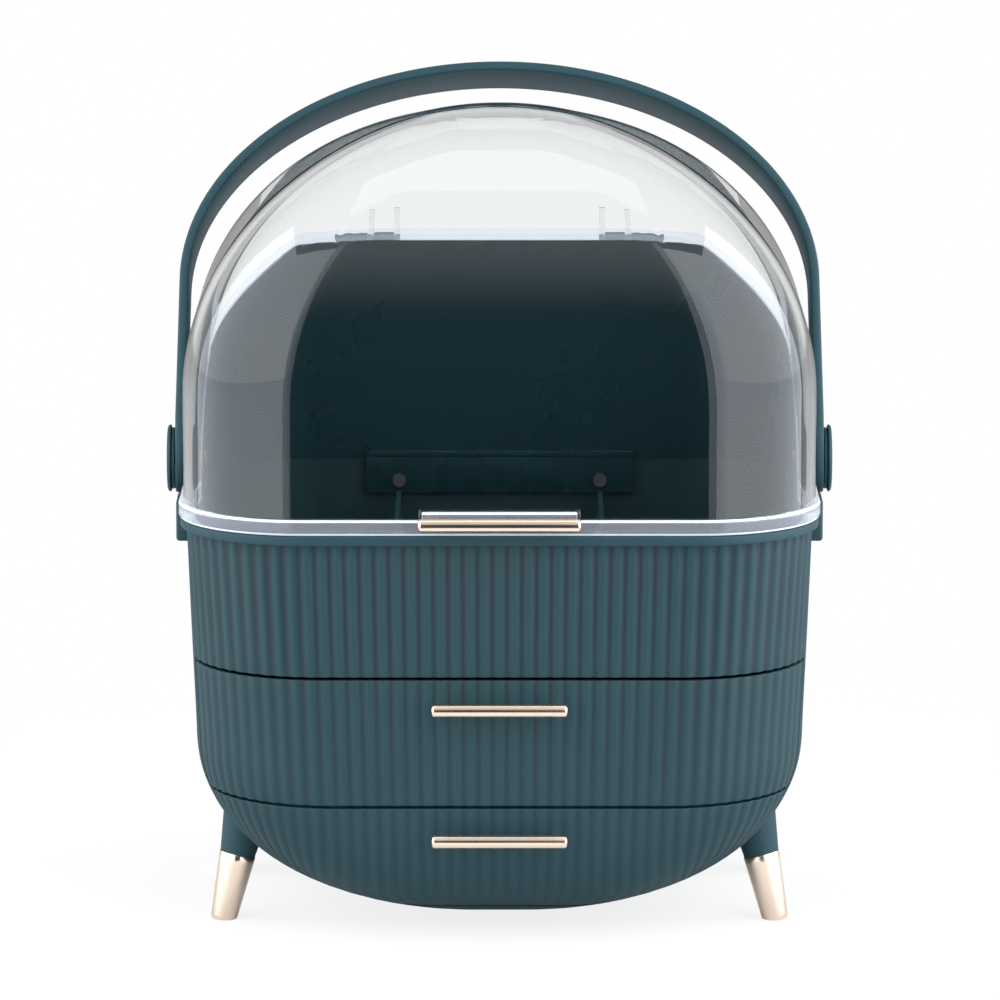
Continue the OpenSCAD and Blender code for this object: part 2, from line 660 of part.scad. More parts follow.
module ferrule(sx, sy) {
    foot_r = ferrule_foot_d / 2;
    color(gold) difference() {
        at_leg(sx, sy) rotate_extrude() polygon(concat([[0, -2]],
            [for (a = [270:15:360]) [foot_r - 3 + 3 * cos(a), 1 + 3 * sin(a)]],
            [[ferrule_top_d / 2, ferrule_l], [spigot_r + fit, ferrule_l],
            [spigot_r + fit, ferrule_l - spigot_l - 0.5], [0, ferrule_l - spigot_l - 0.5]]));
        translate([-far, -far, -20]) cube([2 * far, 2 * far, 20]);
    }
}

// Middle of the whole object's depth comes to y = 0
front_reach = pull_gap + pull_h - hood_face_y;
rear_reach = hinge_y + knuckle_r;
frame_y = (front_reach - rear_reach) / 2;
module placed() {
    translate([0, frame_y, 0]) children();
}

placed() base_tub();
placed() cabinet_shell();
placed() divider_shelf();
placed() bottom_pan();
placed() back_shell();
placed() color(steel) mirror([1, 0, 0]) hinge_pin();  // hinge_pin_left
placed() color(steel) hinge_pin();  // hinge_pin_right
placed() tub_screws();
placed() back_shell_screws();
placed() leg_screws();
placed() leg(-1, -1);  // leg_front_left
placed() leg(1, -1);  // leg_front_right
placed() leg(-1, 1);  // leg_rear_left
placed() leg(1, 1);  // leg_rear_right
placed() ferrule(-1, -1);  // ferrule_front_left
placed() ferrule(1, -1);  // ferrule_front_right
placed() ferrule(-1, 1);  // ferrule_rear_left
placed() ferrule(1, 1);  // ferrule_rear_right
placed() mirror([1, 0, 0]) pivot_pin();  // pivot_pin_left
placed() pivot_pin();  // pivot_pin_right
placed() mirror([1, 0, 0]) pivot_disc();  // pivot_disc_left
placed() pivot_disc();  // pivot_disc_right
placed() mirror([1, 0, 0]) pivot_cap();  // pivot_cap_left
placed() pivot_cap();  // pivot_cap_right
placed() hood();
placed() hood_pull();
placed() hood_pull_screws();
placed() carry_handle();
placed() upper_drawer_front();
placed() upper_drawer_tray();
placed() upper_pull();
placed() upper_pull_screws();
placed() lower_drawer_front();
placed() lower_drawer_tray();
placed() lower_pull();
placed() lower_pull_screws();
placed() partition();
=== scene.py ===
"""Ribbed make-up case on splayed legs: a cupped body with two drawers, a clear hood and a carry handle."""

import sys
import logging
import math
from dataclasses import dataclass, field
from enum import Enum
from typing import Callable, Sequence

import bmesh
import bpy
import numpy as np
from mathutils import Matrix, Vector


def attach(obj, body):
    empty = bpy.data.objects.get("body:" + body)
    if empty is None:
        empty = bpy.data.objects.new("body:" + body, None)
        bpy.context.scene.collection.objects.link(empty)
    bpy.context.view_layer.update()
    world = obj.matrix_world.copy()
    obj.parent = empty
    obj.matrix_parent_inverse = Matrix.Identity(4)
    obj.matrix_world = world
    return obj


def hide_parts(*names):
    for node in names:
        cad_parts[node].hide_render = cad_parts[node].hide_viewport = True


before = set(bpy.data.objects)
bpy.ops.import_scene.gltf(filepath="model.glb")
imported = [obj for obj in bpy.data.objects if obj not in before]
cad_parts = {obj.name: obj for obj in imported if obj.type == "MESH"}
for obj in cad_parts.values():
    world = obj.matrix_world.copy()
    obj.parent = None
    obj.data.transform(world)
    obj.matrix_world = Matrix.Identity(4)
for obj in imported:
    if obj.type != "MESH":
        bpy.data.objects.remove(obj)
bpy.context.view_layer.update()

logging.basicConfig(level=logging.INFO, format="%(message)s", stream=sys.stdout)
log = logging.getLogger("makeup_case")

MM = 0.001
Array = np.ndarray
Faces = list[tuple[int, ...]]
Solid = tuple[Array, Faces]
Socket = bpy.types.NodeSocket
Tree = bpy.types.NodeTree


class Body(str, Enum):
    """Moving body that a piece rides on."""

    BASE = "base"
    LID = "lid"
    HANDLE = "handle"
    UPPER = "upper_drawer"
    LOWER = "lower_drawer"
    DIVIDER = "divider"


class Slot(str, Enum):
    """Material slot of the record that a piece takes its finish from."""

    PLASTIC = "body_plastic"
    CLEAR = "clear_plastic"
    GOLD = "gold_metal"
    STEEL = "steel"


# --- forms of the body, in millimetres -------------------------------------------------------


def bulge(t: Array, power: float) -> Array:
    """Curve that falls from 1 at t = 0 to 0 at t = 1; an ellipse where power is 2."""
    return (1.0 - np.clip(t, 0.0, 0.9999) ** power) ** (1.0 / power)


@dataclass(frozen=True)
class Section:
    """One rounded rectangle in plan."""

    half_w: float
    half_d: float
    radius: float

    @property
    def lengths(self) -> tuple[float, float, float]:
        """Half of the front run, one corner, and one side run."""
        return (self.half_w - self.radius, 0.5 * math.pi * self.radius, 2.0 * (self.half_d - self.radius))

    @property
    def girth(self) -> float:
        """Length all the way round."""
        run, corner, side = self.lengths
        return 4.0 * run + 4.0 * corner + 2.0 * side

    def point(self, q: Array) -> Array:
        """Points at shares q of the girth, from the middle of the front towards the right.

        Args:
            q: Shares of the girth, where 0 and 1 are the middle of the front.

        Returns:
            An array of x, y pairs.
        """
        run, corner, side = self.lengths
        r = max(self.radius, 1e-6)
        q = np.asarray(q, float)
        mirrored = q > 0.5
        s = np.where(mirrored, 1.0 - q, q) * self.girth
        x = np.zeros_like(s)
        y = np.zeros_like(s)
        marks = np.cumsum([run, corner, side, corner, run])
        a = s <= marks[0]
        x[a], y[a] = s[a], -self.half_d
        b = (s > marks[0]) & (s <= marks[1])
        t = (s[b] - marks[0]) / r
        x[b], y[b] = run + r * np.sin(t), -self.half_d + r - r * np.cos(t)
        c = (s > marks[1]) & (s <= marks[2])
        x[c], y[c] = self.half_w, -side / 2.0 + s[c] - marks[1]
        d = (s > marks[2]) & (s <= marks[3])
        t = (s[d] - marks[2]) / r
        x[d], y[d] = run + r * np.cos(t), side / 2.0 + r * np.sin(t)
        e = s > marks[3]
        x[e], y[e] = run - (s[e] - marks[3]), self.half_d
        return np.stack([np.where(mirrored, -x, x), y], axis=-1)

    def share_of(self, x: Array, y: Array) -> Array:
        """Shares of the girth of points on the front right quarter of the outline."""
        run, corner, side = self.lengths
        r = max(self.radius, 1e-6)
        turn = np.arctan2(np.maximum(x - run, 0.0), np.maximum(-y - side / 2.0, 0.0))
        s = np.where(x <= run, x, run + r * turn)
        s = np.where(y > -side / 2.0, run + corner + y + side / 2.0, s)
        return s / self.girth

    def share_at_depth(self, y: float) -> float:
        """Share of the girth at which the right-hand half of the outline first reaches depth y."""
        run, corner, side = self.lengths
        if y >= self.radius - self.half_d:
            return (run + corner + y + side / 2.0) / self.girth
        r = max(self.radius, 1e-6)
        turn = math.acos(max(-1.0, min(1.0, (r - self.half_d - y) / r)))
        return (run + r * turn) / self.girth


@dataclass(frozen=True)
class BowlForm:
    """Egg-shaped body from its underside up to the rim of the top compartment."""

    bowl_w: float = 261.0
    bowl_d: float = 202.0
    rim_w: float = 268.0
    rim_d: float = 205.0
    rim_z: float = 177.8
    belly_z: float = 84.0
    base_z: float = 3.8
    corner_r: float = 58.0
    rim_corner_r: float = 52.0
    side_curve: float = 2.12
    front_curve: float = 3.8
    corner_fade: float = 0.59

    def section(self, z: float, inset: float = 0.0) -> Section:
        """Section at height z, moved in by inset."""
        if z < self.belly_z:
            t = (self.belly_z - z) / (self.belly_z - self.base_z - inset)
            side = float(bulge(np.array(t), self.side_curve))
            front = float(bulge(np.array(t), self.front_curve))
            half_w = (self.bowl_w / 2.0 - inset) * side
            half_d = (self.bowl_d / 2.0 - inset) * front
            radius = (self.corner_r - inset) * side**self.corner_fade
        else:
            up = (z - self.belly_z) / (self.rim_z - self.belly_z)
            half_w = self.bowl_w / 2.0 - inset + (self.rim_w - self.bowl_w) / 2.0 * up
            half_d = self.bowl_d / 2.0 - inset + (self.rim_d - self.bowl_d) / 2.0 * up
            radius = self.corner_r - inset + (self.rim_corner_r - self.corner_r) * up
        return Section(half_w, half_d, min(radius, 0.98 * half_w, 0.98 * half_d))

    def holds(self, x: float, y: float, z: float, inset: float = 0.0) -> bool:
        """Whether a point lies inside the body."""
        s = self.section(z, inset)
        dx = max(abs(x) - (s.half_w - s.radius), 0.0)
        dy = max(abs(y) - (s.half_d - s.radius), 0.0)
        return math.hypot(dx, dy) < s.radius


@dataclass(frozen=True)
class HoodForm:
    """Dome of the hood and of the back shell below it."""

    half_w: float = 135.2
    half_d: float = 102.0
    radius: float = 52.0
    spring_z: float = 231.0
    top_z: float = 348.0
    curve: float = 2.4

    def section(self, z: float, inset: float = 0.0) -> Section:
        """Section at height z, moved in by inset."""
        t = (z - self.spring_z) / (self.top_z - self.spring_z - inset)
        side = float(bulge(np.array(t), 2.0))
        front = float(bulge(np.array(t), self.curve))
        half_w = (self.half_w - inset) * side
        half_d = (self.half_d - inset) * front
        radius = (self.radius - inset) * side**0.3
        return Section(half_w, half_d, min(radius, 0.98 * half_w, 0.98 * half_d))


@dataclass(frozen=True)
class CaseSizes:
    """Heights and clearances that the pieces share, in millimetres."""

    frame_y: float = 5.08557
    wall: float = 2.6
    upper_split_z: float = 116.3
    lower_split_z: float = 60.7
    pan_z: float = 12.0
    line_gap: float = 1.2
    front_end_y: float = 58.0
    band_h: float = 3.8
    band_out: float = 2.6
    tub_floor: float = 2.6
    hood_foot_z: float = 178.2
    hood_wall: float = 3.0
    flange_h: float = 6.5
    flange_out: float = 2.0
    tab_w: float = 64.6
    tab_h: float = 10.0
    tab_out: float = 0.2
    hinge_y: float = 101.54
    knuckle_r: float = 3.5
    hinge_z: float = 277.0
    hood_end_y: float = 8.0
    pivot_y: float = 12.0
    pivot_z: float = 192.0


BOWL = BowlForm()
HOOD = HoodForm()
CASE = CaseSizes()


# --- mesh helpers ----------------------------------------------------------------------------


def finish_object(name: str, mesh: bpy.types.Mesh) -> bpy.types.Object:
    """Links a mesh to the scene as an object of its own at the origin."""
    obj = bpy.data.objects.new(name, mesh)
    bpy.context.scene.collection.objects.link(obj)
    return obj


def mesh_from(name: str, verts: Array, faces: Faces) -> bpy.types.Mesh:
    """Mesh from points in millimetres of the body's own frame, moved to the shared frame in metres."""
    mesh = bpy.data.meshes.new(name)
    moved = (np.asarray(verts, float) + np.array([0.0, CASE.frame_y, 0.0])) * MM
    mesh.from_pydata(moved.tolist(), [], faces)
    return mesh


def tidy_mesh(mesh: bpy.types.Mesh, smooth_angle: float) -> None:
    """Merges doubles, drops collapsed faces, turns faces outwards and sets the shading.

    Args:
        mesh: The mesh to tidy.
        smooth_angle: Edges sharper than this many degrees stay sharp.
    """
    bm = bmesh.new()
    bm.from_mesh(mesh)
    bmesh.ops.remove_doubles(bm, verts=bm.verts, dist=2e-6)
    bmesh.ops.dissolve_degenerate(bm, edges=bm.edges, dist=1e-6)
    bmesh.ops.recalc_face_normals(bm, faces=bm.faces)
    limit = math.radians(smooth_angle)
    for face in bm.faces:
        face.smooth = True
    for edge in bm.edges:
        edge.smooth = not (len(edge.link_faces) == 2 and edge.calc_face_angle(0.0) > limit)
    bm.to_mesh(mesh)
    bm.free()
    mesh.update()


def object_from(
    name: str, verts: Array, faces: Faces, finish: bpy.types.Material, smooth_angle: float = 40.0
) -> bpy.types.Object:
    """Object of points and faces in one finish."""
    mesh = mesh_from(name, verts, faces)
    mesh.materials.append(finish)
    tidy_mesh(mesh, smooth_angle)
    return finish_object(name, mesh)


def grid_faces(rows: int, cols: int, wrap_rows: bool, wrap_cols: bool) -> Faces:
    """Quads between neighbouring rows and columns of a point grid."""
    faces = []
    for j in range(rows if wrap_rows else rows - 1):
        k = (j + 1) % rows
        for i in range(cols if wrap_cols else cols - 1):
            h = (i + 1) % cols
            faces.append((j * cols + i, j * cols + h, k * cols + h, k * cols + i))
    return faces


def lathe(profile: Sequence[tuple[float, float]], steps: int = 64) -> Solid:
    """Turned solid about +Z from an (r, z) profile that starts and ends on the axis.

    Args:
        profile: Points from one pole to the other; the first and last have radius 0.
        steps: Points round each ring.

    Returns:
        The points and the faces.
    """
    angles = np.linspace(0.0, 2.0 * math.pi, steps, endpoint=False)
    rings = [
        np.stack([r * np.cos(angles), r * np.sin(angles), np.full(steps, z)], axis=-1)
        for r, z in profile[1:-1]
    ]
    verts = np.concatenate(rings + [np.array([[0.0, 0.0, profile[0][1]], [0.0, 0.0, profile[-1][1]]])])
    faces = grid_faces(len(rings), steps, False, True)
    low, high = len(verts) - 2, len(verts) - 1
    last = (len(rings) - 1) * steps
    for i in range(steps):
        h = (i + 1) % steps
        faces.append((low, h, i))
        faces.append((high, last + i, last + h))
    return verts, faces


def turned(points: Array, axis: str, angle: float, offset: Sequence[float]) -> Array:
    """Points turned by angle degrees about an axis letter and then moved by offset."""
    c, s = math.cos(math.radians(angle)), math.sin(math.radians(angle))
    turns = {
        "x": np.array([[1, 0, 0], [0, c, -s], [0, s, c]]),
        "y": np.array([[c, 0, s], [0, 1, 0], [-s, 0, c]]),
        "z": np.array([[c, -s, 0], [s, c, 0], [0, 0, 1]]),
    }
    return points @ turns[axis].T + np.asarray(offset, float)


def round_box(low: Sequence[float], high: Sequence[float], radius: float) -> Solid:
    """Box with rounded edges between two corners."""
    bm = bmesh.new()
    bmesh.ops.create_cube(bm, size=1.0)
    size = np.subtract(high, low)
    middle = np.add(high, low) / 2.0
    for v in bm.verts:
        v.co = Vector(np.array(v.co) * size + middle)
    if radius > 0:
        whole = bm.edges[:] + bm.verts[:]
        bmesh.ops.bevel(bm, geom=whole, offset=radius, segments=3, affect="EDGES", profile=0.5)
    bm.verts.index_update()
    verts = np.array([v.co[:] for v in bm.verts])
    faces = [tuple(v.index for v in f.verts) for f in bm.faces]
    bm.free()
    return verts, faces


def prism(axis: str, low: float, high: float, outline: Sequence[tuple[float, float]]) -> Solid:
    """Solid between two places along an axis letter, from an outline in the other two axes."""
    at = {"x": 0, "y": 1, "z": 2}[axis]
    n = len(outline)
    verts = [np.insert(np.array(point, float), at, place) for place in (low, high) for point in outline]
    faces = [tuple(range(n)), tuple(range(2 * n - 1, n - 1, -1))]
    faces += [(i, n + i, n + (i + 1) % n, (i + 1) % n) for i in range(n)]
    return np.array(verts), faces


def rod(low: float, high: float, radius: float, y: float, z: float, soft: float = 0.3) -> Solid:
    """Cylinder along X with softened ends."""
    half = (high - low) / 2.0
    profile = [(0.0, -half), (radius - soft, -half), (radius, soft - half), (radius, half - soft)]
    verts, faces = lathe(profile + [(radius - soft, half), (0.0, half)], 40)
    return turned(verts, "y", 90.0, ((low + high) / 2.0, y, z)), faces


def joined(parts: Sequence[Solid]) -> Solid:
    """Several point-and-face sets put together as one."""
    verts: list[Array] = []
    faces: Faces = []
    start = 0
    for points, quads in parts:
        verts.append(points)
        faces += [tuple(i + start for i in f) for f in quads]
        start += len(points)
    return np.concatenate(verts), faces


# --- materials -------------------------------------------------------------------------------


class Wiring:
    """Adds nodes to a tree and joins them."""

    def __init__(self, tree: Tree) -> None:
        """Keeps the tree."""
        self.tree = tree

    def feed(self, target: Socket, value: object) -> None:
        """Joins a socket to an input, or sets the input to a plain value."""
        if isinstance(value, Socket):
            self.tree.links.new(value, target)
        else:
            target.default_value = value

    def node(self, kind: str, given: dict[object, object] | None = None, **values: object) -> bpy.types.Node:
        """Adds a node, sets its plain properties and then feeds its inputs."""
        made = self.tree.nodes.new(kind)
        for key, value in values.items():
            setattr(made, key, value)
        for key, value in (given or {}).items():
            self.feed(made.inputs[key], value)
        return made

    def maths(self, operation: str, *values: Socket | float) -> Socket:
        """Result of a Math node fed with sockets or numbers."""
        return self.node("ShaderNodeMath", dict(enumerate(values)), operation=operation).outputs[0]

    def product(self, first: Socket, *others: Socket | float) -> Socket:
        """Product of sockets and numbers."""
        made = first
        for value in others:
            made = self.maths("MULTIPLY", made, value)
        return made

    def ramp(self, value: Socket, low: float, high: float) -> Socket:
        """Smooth step of a value from 0 at low to 1 at high."""
        given = {"From Min": low, "From Max": high, "Value": value}
        return self.node("ShaderNodeMapRange", given, interpolation_type="SMOOTHSTEP").outputs["Result"]

    def span(self, value: Socket, low: float, high: float, to_low: object, to_high: object) -> Socket:
        """Value carried in a straight line from one range to another."""
        given = {"Value": value, "From Min": low, "From Max": high, "To Min": to_low, "To Max": to_high}
        return self.node("ShaderNodeMapRange", given).outputs["Result"]

    def mixed(self, share: Socket, a: object, b: object) -> Socket:
        """Colour between a and b."""
        given = {"Factor": share, "A": a, "B": b}
        return self.node("ShaderNodeMix", given, data_type="RGBA").outputs["Result"]

    def blended(self, share: Socket, a: Socket, b: Socket) -> Socket:
        """Shader between a and b."""
        return self.node("ShaderNodeMixShader", {"Fac": share, 1: a, 2: b}).outputs[0]

    def axes(self, name: str) -> tuple[Socket, ...]:
        """X, Y and Z of a named texture coordinate."""
        place = self.node("ShaderNodeTexCoord").outputs[name]
        return tuple(self.node("ShaderNodeSeparateXYZ", {0: place}).outputs)


class NodeMaterial(Wiring):
    """Base of every finish: one material with a Principled shader and helpers to wire its nodes."""

    def __init__(self, name: str) -> None:
        """Makes the empty material with its shader."""
        self.material = bpy.data.materials.new(name)
        self.material.use_nodes = True
        super().__init__(self.material.node_tree)
        self.shader = self.tree.nodes["Principled BSDF"]

    def put(self, **values: object) -> None:
        """Feeds sockets of the shader, with underscores for spaces in their names."""
        for key, value in values.items():
            self.feed(self.shader.inputs[key.replace("_", " ")], value)

    def show(self, surface: Socket) -> None:
        """Makes a shader the surface of the material."""
        self.feed(self.tree.nodes["Material Output"].inputs["Surface"], surface)


def surface_grain_group() -> Tree:
    """Node group shared by the finishes: cloudy colour change, gloss change and fine relief.

    Returns:
        A shader group with two colours, a scale and a gloss range in, and Colour, Gloss and Height out.
    """
    name = "surface_grain"
    if name in bpy.data.node_groups:
        return bpy.data.node_groups[name]
    group = bpy.data.node_groups.new(name, "ShaderNodeTree")
    face = group.interface
    for label, kind, default in (
        ("Colour A", "NodeSocketColor", (0.5, 0.5, 0.5, 1.0)),
        ("Colour B", "NodeSocketColor", (0.4, 0.4, 0.4, 1.0)),
        ("Scale", "NodeSocketFloat", 1.0),
        ("Gloss Low", "NodeSocketFloat", 0.3),
        ("Gloss High", "NodeSocketFloat", 0.4),
    ):
        face.new_socket(label, in_out="INPUT", socket_type=kind).default_value = default
    given_out = {"Colour": "NodeSocketColor", "Gloss": "NodeSocketFloat", "Height": "NodeSocketFloat"}
    for label, kind in given_out.items():
        face.new_socket(label, in_out="OUTPUT", socket_type=kind)
    wires = Wiring(group)
    given = wires.node("NodeGroupInput").outputs
    place = wires.node("ShaderNodeTexCoord").outputs["Object"]
    fields = []
    for times, detail in ((14.0, 4.0), (1500.0, 2.0)):
        noise = {"Vector": place, "Scale": wires.product(given["Scale"], times), "Detail": detail}
        fields.append(wires.node("ShaderNodeTexNoise", noise).outputs["Fac"])
    cloud, grain = fields
    out = {
        "Colour": wires.mixed(cloud, given["Colour A"], given["Colour B"]),
        "Gloss": wires.span(cloud, 0.3, 0.7, given["Gloss Low"], given["Gloss High"]),
        "Height": grain,
    }
    wires.node("NodeGroupOutput", out)
    return group


@dataclass(frozen=True)
class GrainFinish:
    """Finish made of the shared grain group: two colours, a gloss range, a fine relief and painted shade that
    darkens the grooves.
    """

    name: str
    colour_a: tuple[float, float, float]
    colour_b: tuple[float, float, float]
    gloss: tuple[float, float]
    relief_mm: float
    metallic: float = 0.0
    specular: float = 0.5
    scale: float = 1.0
    painted_groove_shade: float = 0.0

    def build(self) -> bpy.types.Material:
        """Makes the material."""
        made = NodeMaterial(self.name)
        given = {
            "Colour A": (*self.colour_a, 1.0),
            "Colour B": (*self.colour_b, 1.0),
            "Scale": self.scale,
            "Gloss Low": self.gloss[0],
            "Gloss High": self.gloss[1],
        }
        grain = made.node("ShaderNodeGroup", given, node_tree=surface_grain_group()).outputs
        bump = made.node("ShaderNodeBump", {"Distance": self.relief_mm * MM, "Height": grain["Height"]})
        colour = grain["Colour"]
        # painted shade: the colour turns darker where the groove mask is deep
        if self.painted_groove_shade > 0.0:
            held = made.node("ShaderNodeAttribute", attribute_name="groove").outputs["Fac"]
            deep = (*(0.35 * c for c in self.colour_b), 1.0)
            colour = made.mixed(made.product(held, self.painted_groove_shade), colour, deep)
        made.put(Base_Color=colour, Roughness=grain["Gloss"], Normal=bump.outputs["Normal"])
        made.put(Metallic=self.metallic, Specular_IOR_Level=self.specular)
        return made.material


@dataclass(frozen=True)
class ClearFinish:
    """Clear moulded acrylic; a lower clearness makes lips and cut edges pale, a painted highlight where they
    catch the light.
    """

    name: str = "clear_acrylic"
    colour: tuple[float, float, float] = (0.975, 0.985, 0.985)
    ior: float = 1.49
    clearness: float = 1.0
    gloss: float = 0.0

    def build(self) -> bpy.types.Material:
        """Makes the material; light passes through it straight so that it throws no dark shadow."""
        made = NodeMaterial(self.name)
        place = made.node("ShaderNodeTexCoord").outputs["Object"]
        scratch = made.node("ShaderNodeTexNoise", {"Vector": place, "Scale": 30.0, "Detail": 3.0})
        rough = made.span(scratch.outputs["Fac"], 0.45, 0.75, self.gloss, self.gloss + 0.008)
        made.put(Base_Color=(*self.colour, 1.0), Roughness=rough)
        made.put(Transmission_Weight=self.clearness, IOR=self.ior)
        shadow = made.node("ShaderNodeLightPath").outputs["Is Shadow Ray"]
        clear = made.node("ShaderNodeBsdfTransparent", {"Color": (0.93, 0.95, 0.95, 1.0)})
        made.show(made.blended(shadow, made.shader.outputs["BSDF"], clear.outputs["BSDF"]))
        return made.material


class Finishes:
    """The finishes of the case, built once."""

    def __init__(self) -> None:
        """Builds every material."""
        self.green = GrainFinish(
            "green_plastic",
            (0.0088, 0.043, 0.053),
            (0.0080, 0.039, 0.049),
            (0.50, 0.58),
            0.006,
            specular=0.32,
            # painted shade darkens the colour in the rib grooves
            painted_groove_shade=0.8,
        ).build()
        self.smooth_green = GrainFinish(
            "smooth_green_plastic",
            (0.0070, 0.033, 0.042),
            (0.0060, 0.029, 0.037),
            (0.24, 0.32),
            0.0015,
            specular=0.3,
        ).build()
        self.gold = GrainFinish(
            "champagne_gold", (0.90, 0.73, 0.585), (0.88, 0.70, 0.55), (0.15, 0.22), 0.002, metallic=1.0
        ).build()
        self.steel = GrainFinish(
            "pin_steel", (0.19, 0.19, 0.20), (0.16, 0.16, 0.17), (0.35, 0.45), 0.003, metallic=1.0
        ).build()
        self.clear = ClearFinish().build()
        # less clear, pale finishes for lips and cut edges: painted highlight
        self.lip = ClearFinish("clear_lip", (0.80, 0.85, 0.94), 1.49, 0.82, 0.04).build()
        self.edge = ClearFinish("clear_edge", (0.90, 0.92, 0.97), 1.49, 0.25, 0.1).build()


# --- ribs ------------------------------------------------------------------------------------


@dataclass(frozen=True)
class RibField:
    """Soft reeds that run up the body and draw together towards its underside."""

    quarter: int = 33
    depth: float = 0.85
    sharpness: float = 1.1
    ref_z: float = 150.0
    ref_inset: float = 3.6
    full_z: float = 175.0
    hold_z: float = 20.0
    draw_in: float = 0.065
    samples: tuple[float, ...] = (0.0, 0.12, 0.23, 0.33, 0.42, 0.5, 0.58, 0.67, 0.77, 0.88)

    @property
    def count(self) -> int:
        """Ribs all the way round."""
        return 4 * self.quarter

    def lines(self) -> Array:
        """Rib coordinates from the middle of the front to the middle of the right side."""
        base = np.repeat(np.arange(self.quarter), len(self.samples)) + np.tile(self.samples, self.quarter)
        return np.append(base, self.quarter)

    def half_lines(self) -> Array:
        """Rib coordinates from the middle of the front round to the middle of the back."""
        u = self.lines()
        return np.concatenate([u, 2 * self.quarter - u[::-1][1:]])

    def half_shares(self, z: float) -> Array:
        """Shares of the girth at which the rib lines of the right half cross the body at height z."""
        z = max(z, self.hold_z)
        section = BOWL.section(z)
        ref = BOWL.section(self.ref_z)
        run, _, side = ref.lengths
        r = ref.radius - self.ref_inset
        corner = 0.5 * math.pi * r
        scale = 1.0 - self.draw_in * max(1.0 - z / self.full_z, 0.0) ** 1.2
        s = self.lines() / self.quarter * (run + corner + side / 2.0)
        turn = np.clip((s - run) / r, 0.0, 0.5 * math.pi)
        x0 = np.minimum(s, run) * scale
        y0 = -side / 2.0 + np.maximum(s - run - corner, 0.0)
        low, high = np.zeros_like(s), np.full_like(s, 200.0)
        for _ in range(44):
            mid = (low + high) / 2.0
            x, y = x0 + mid * np.sin(turn), y0 - mid * np.cos(turn)
            dx = np.maximum(np.abs(x) - (section.half_w - section.radius), 0.0)
            dy = np.maximum(np.abs(y) - (section.half_d - section.radius), 0.0)
            inside = np.hypot(dx, dy) < section.radius
            low, high = np.where(inside, mid, low), np.where(inside, high, mid)
        q = section.share_of(x0 + low * np.sin(turn), y0 - low * np.cos(turn))
        q = np.maximum.accumulate(q)
        q[0], q[-1] = 0.0, 0.25
        return np.concatenate([q, 0.5 - q[::-1][1:]])

    def node_tree(self) -> Tree:
        """Geometry Nodes tree that presses the grooves into a body with rib attributes.

        Returns:
            A tree whose named inputs are Groove Depth, Groove Sharpness and Finish.
        """
        name = "rib_grooves"
        if name in bpy.data.node_groups:
            return bpy.data.node_groups[name]
        tree = bpy.data.node_groups.new(name, "GeometryNodeTree")
        face = tree.interface
        face.new_socket("Geometry", in_out="INPUT", socket_type="NodeSocketGeometry")
        face.new_socket("Groove Depth", in_out="INPUT", socket_type="NodeSocketFloat").default_value = 0.001
        face.new_socket("Groove Sharpness", in_out="INPUT", socket_type="NodeSocketFloat").default_value = 2.5
        face.new_socket("Finish", in_out="INPUT", socket_type="NodeSocketMaterial")
        face.new_socket("Geometry", in_out="OUTPUT", socket_type="NodeSocketGeometry")
        wires = Wiring(tree)
        given = wires.node("NodeGroupInput").outputs

        def attribute(label: str, kind: str) -> Socket:
            """Reads a named attribute of the body."""
            made = wires.node("GeometryNodeInputNamedAttribute", {"Name": label}, data_type=kind)
            return next(s for s in made.outputs if s.enabled and s.name == "Attribute")

        wave = wires.maths("COSINE", wires.product(attribute("rib_phase", "FLOAT"), 2.0 * math.pi))
        valley = wires.maths("MAXIMUM", wires.maths("MULTIPLY_ADD", wave, -0.5, 0.5), 0.0)
        valley = wires.maths("POWER", valley, given["Groove Sharpness"])
        mask = wires.product(valley, attribute("rib_amount", "FLOAT"))
        inward = wires.product(mask, given["Groove Depth"], -1.0)
        push = {0: attribute("outward", "FLOAT_VECTOR"), "Scale": inward}
        offset = wires.node("ShaderNodeVectorMath", push, operation="SCALE").outputs[0]
        move = wires.node("GeometryNodeSetPosition", {"Geometry": given["Geometry"], "Offset": offset})
        # The groove mask stays on the mesh; the green finish paints shade into the grooves with it.
        held = {"Geometry": move.outputs["Geometry"], "Name": "groove"}
        keep = wires.node("GeometryNodeStoreNamedAttribute", held, data_type="FLOAT", domain="POINT")
        wires.feed(next(s for s in keep.inputs if s.enabled and s.name == "Value"), mask)
        real = wires.node("GeometryNodeRealizeInstances", {0: keep.outputs["Geometry"]}).outputs[0]
        paint = wires.node("GeometryNodeSetMaterial", {"Geometry": real, "Material": given["Finish"]})
        wires.node("NodeGroupOutput", {"Geometry": paint.outputs["Geometry"]})
        return tree


RIBS = RibField()


def run_nodes(obj: bpy.types.Object, tree: Tree, values: dict[str, object]) -> bpy.types.Object:
    """Runs a Geometry Nodes tree on an object and keeps the result as its plain mesh.

    Args:
        obj: The object that carries the tree's input mesh.
        tree: The tree.
        values: Input names and their values.

    Returns:
        The same object with its new mesh.
    """
    modifier = obj.modifiers.new(tree.name, "NODES")
    modifier.node_group = tree
    inputs = [s for s in tree.interface.items_tree if s.item_type == "SOCKET" and s.in_out == "INPUT"]
    sockets = {s.name: s.identifier for s in inputs}
    for label, value in values.items():
        modifier[sockets[label]] = value
    obj.update_tag()
    depsgraph = bpy.context.evaluated_depsgraph_get()
    depsgraph.update()
    mesh = bpy.data.meshes.new_from_object(obj.evaluated_get(depsgraph))
    obj.modifiers.remove(modifier)
    old = obj.data
    obj.data = mesh
    bpy.data.meshes.remove(old)
    mesh.name = obj.name
    return obj


@dataclass
class WallRow:
    """One row of a moulded wall: its height, how far in it lies, and how strongly it is ribbed."""

    z: float
    inset: float
    ribbed: float = 0.0


